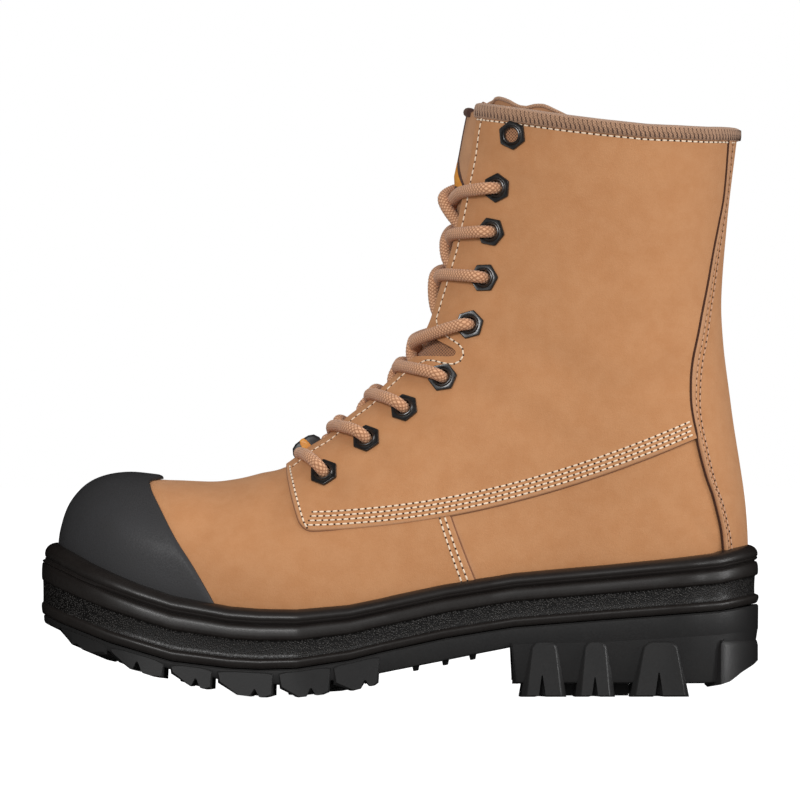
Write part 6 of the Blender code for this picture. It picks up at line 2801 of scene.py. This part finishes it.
    def build(self) -> Object:
        """Make the whole tread.

        Returns:
            The piece.
        """
        plan = SOLE.outline(self.stations)
        base, parting = SOLE.line("base", plan[:, 0]), SOLE.line("parting", plan[:, 0]) - FIT
        wall = self.wall(plan[:, 0])
        bodies = [self.slab(plan, [(wall + 1.5, base), (wall + 0.4, base + 0.5), (wall, base + 1.5),
                                   (wall - 0.1, parting - 0.7), (wall + 0.5, parting)]), self.heel_block()]
        for side in Side:
            bodies += [self.lug(row, side, self.ceiling, self.front_bevel, self.chamfer)
                       for row in FOREFOOT_LUGS]
            bodies += [self.lug(row, side, self.heel_head, self.heel_bevel) for row in HEEL_LUGS]
        bodies += [self.bar(row, self.root) for row in FOREFOOT_BARS]
        bodies += [self.bar(row, self.heel_root) for row in HEEL_BARS]
        bodies.append(self.heel_wrap())
        bodies += [self.arch_rib(x) for x in ARCH_RIBS]
        return self.shop.make("outsole_tread", Body.joined(bodies), [TREAD_RUBBER], ["outsole"], sharp=28.0)

    def heel_block(self) -> Body:
        """Block under the heel, with its rear edge bevelled.

        Returns:
            The block.
        """
        plan = SOLE.outline(self.stations, self.heel_breast)
        x = plan[:, 0]
        floor = np.full(len(plan), self.heel_floor)
        block = self.slab(plan, [(self.heel_inset + 1.5, floor), (self.heel_inset + 0.4, floor + 0.6),
                                 (self.heel_inset, floor + 1.8), (self.wall(x) + 0.05, self.root(x))])
        block.points = self.under_bevel(block.points)
        return block

    def heel_wrap(self) -> Body:
        """Last lug, which runs round the back of the heel.

        Returns:
            The lug.
        """
        front = self.heel_rear + self.rear_bevel
        plan = SOLE.outline(self.stations, front)
        corner = np.abs(plan[:, 1]) > 0.97 * np.abs(plan[:, 1]).max()
        plan[(plan[:, 0] < front + 0.1) & ~corner, 0] -= self.rear_bevel
        foot, crest, face = np.full(len(plan), 1.0), self.heel_head(plan[:, 0]), self.lug_face
        wrap = self.slab(plan, [(face + 1.4, foot), (face + 0.3, foot + 0.7), (face, foot + 2.0),
                                (face, crest - 3.0), (face + 0.4, crest - 1.2), (face + 1.1, crest - 0.2),
                                (face + 2.4, crest)])
        lead = wrap.points[:, 0] < front + 0.1
        wrap.points[lead, 0] -= self.front_lean * (1 - wrap.points[lead, 2] / self.heel_lug_top)
        wrap.points = self.under_bevel(wrap.points)
        return wrap

    def arch_rib(self, x: float) -> Body:
        """Rib across the arch at a place along the sole.

        Args:
            x: Where it lies.

        Returns:
            The rib.
        """
        along, rise = np.array(RIB_SECTION).T
        height = SOLE.line("base", x + along) + rise
        rings = [np.column_stack([x + along, np.full(len(along), y), height]) for y in RIB_ENDS]
        return self.strip_ends(np.array(rings)[:, ::-1])


# Stage

@dataclass
class Studio:
    """Pale floor, soft lights and the camera; its sizes are in metres."""

    frame_width: float = 0.3528
    middle_height: float = 0.1303
    distance: float = 6.0
    frame_plane: float = -0.012
    ambient: float = 0.45
    glow: float = 1.0
    floor_half: float = 14.0
    aim: tuple[float, float, float] = (0.0, 0.0, 0.12)

    def light(self, name: str, place: tuple[float, float, float], size: Pair, power: float,
              mirrored: bool = True) -> None:
        """Add an area light.

        Args:
            name: Its name.
            place: Where it stands, metres.
            size: Its width and height, metres.
            power: Its power in watts.
            mirrored: Whether it shows in reflections.
        """
        data = bpy.data.lights.new(name, "AREA")
        data.shape = "RECTANGLE"
        data.size, data.size_y = size
        data.energy = power
        lamp = bpy.data.objects.new(name, data)
        lamp.location = place
        lamp.rotation_euler = (Vector(self.aim) - Vector(place)).to_track_quat("-Z", "Y").to_euler()
        lamp.visible_glossy = mirrored
        bpy.context.scene.collection.objects.link(lamp)

    def build(self) -> None:
        """Make the stage."""
        scene = bpy.context.scene
        scene.view_settings.view_transform = "Standard"
        world = bpy.data.worlds.new("soft_white")
        world.use_nodes = True
        nodes = Nodes(world.node_tree)
        seen = nodes.add("ShaderNodeLightPath").outputs["Is Camera Ray"]
        strength = nodes.plus(nodes.times(seen, 1.0 - self.ambient), self.ambient)
        background = world.node_tree.nodes["Background"]
        nodes.feed(background, {"Color": (1.0, 1.0, 1.0, 1.0), "Strength": strength})
        world.cycles_visibility.glossy = False
        scene.world = world
        self.light("key_left", (-0.8, -2.6, 0.95), (1.2, 0.6), 36.0)
        self.light("top", (0.1, -0.3, 1.9), (1.6, 1.0), 7.0, mirrored=False)
        self.light("fill_right", (1.7, -1.7, 0.7), (0.4, 1.2), 11.0)
        self.light("side_right", (2.4, -0.5, 0.7), (0.6, 1.4), 20.0)
        self.floor()
        camera = bpy.data.cameras.new("camera")
        camera.sensor_width = 36.0
        camera.lens = camera.sensor_width * self.distance / self.frame_width
        camera.clip_end = 30.0
        holder = bpy.data.objects.new("camera", camera)
        holder.location = (0.0, self.frame_plane - self.distance, self.middle_height)
        holder.rotation_euler = (math.pi / 2, 0.0, 0.0)
        scene.collection.objects.link(holder)
        scene.camera = holder

    def floor(self) -> None:
        """Pale floor, which isn't part of the boot."""
        mesh = bpy.data.meshes.new("floor")
        half = self.floor_half
        corners = [(-half, -half, 0.0), (half, -half, 0.0), (half, half, 0.0), (-half, half, 0.0)]
        mesh.from_pydata(corners, [], [(0, 1, 2, 3)])
        material = bpy.data.materials.new("pale_floor")
        material.use_nodes = True
        Nodes(material.node_tree).feed(material.node_tree.nodes["Principled BSDF"], {
            "Base Color": (0.3, 0.3, 0.3, 1.0), "Roughness": 0.9, "Specular IOR Level": 0.0,
            "Emission Color": (1.0, 1.0, 1.0, 1.0), "Emission Strength": self.glow})
        mesh.materials.append(material)
        plane = bpy.data.objects.new("floor", mesh)
        plane.visible_diffuse = plane.visible_glossy = False
        bpy.context.scene.collection.objects.link(plane)


def main() -> None:
    """Build and dress the boot."""
    logging.basicConfig(level=logging.INFO, format="%(name)s: %(message)s")
    shop = Workshop()
    Studio().build()
    cup = [Upper(shop).build(), ToeCap(shop).build(), Backstay(shop).build()]
    Quarters(shop).build()
    Stitching(shop).build()
    CollarBinding(shop).build()
    Eyelets(shop).build()
    Laces(shop).build()
    LaceKeeper(shop).build()
    Tongue(shop).build()
    Insole(shop).build()
    Midsole(shop).build(cup)
    Outsole(shop).build()
    log.info("%d pieces", len(shop.pieces))


if __name__ == "__main__":
    main()
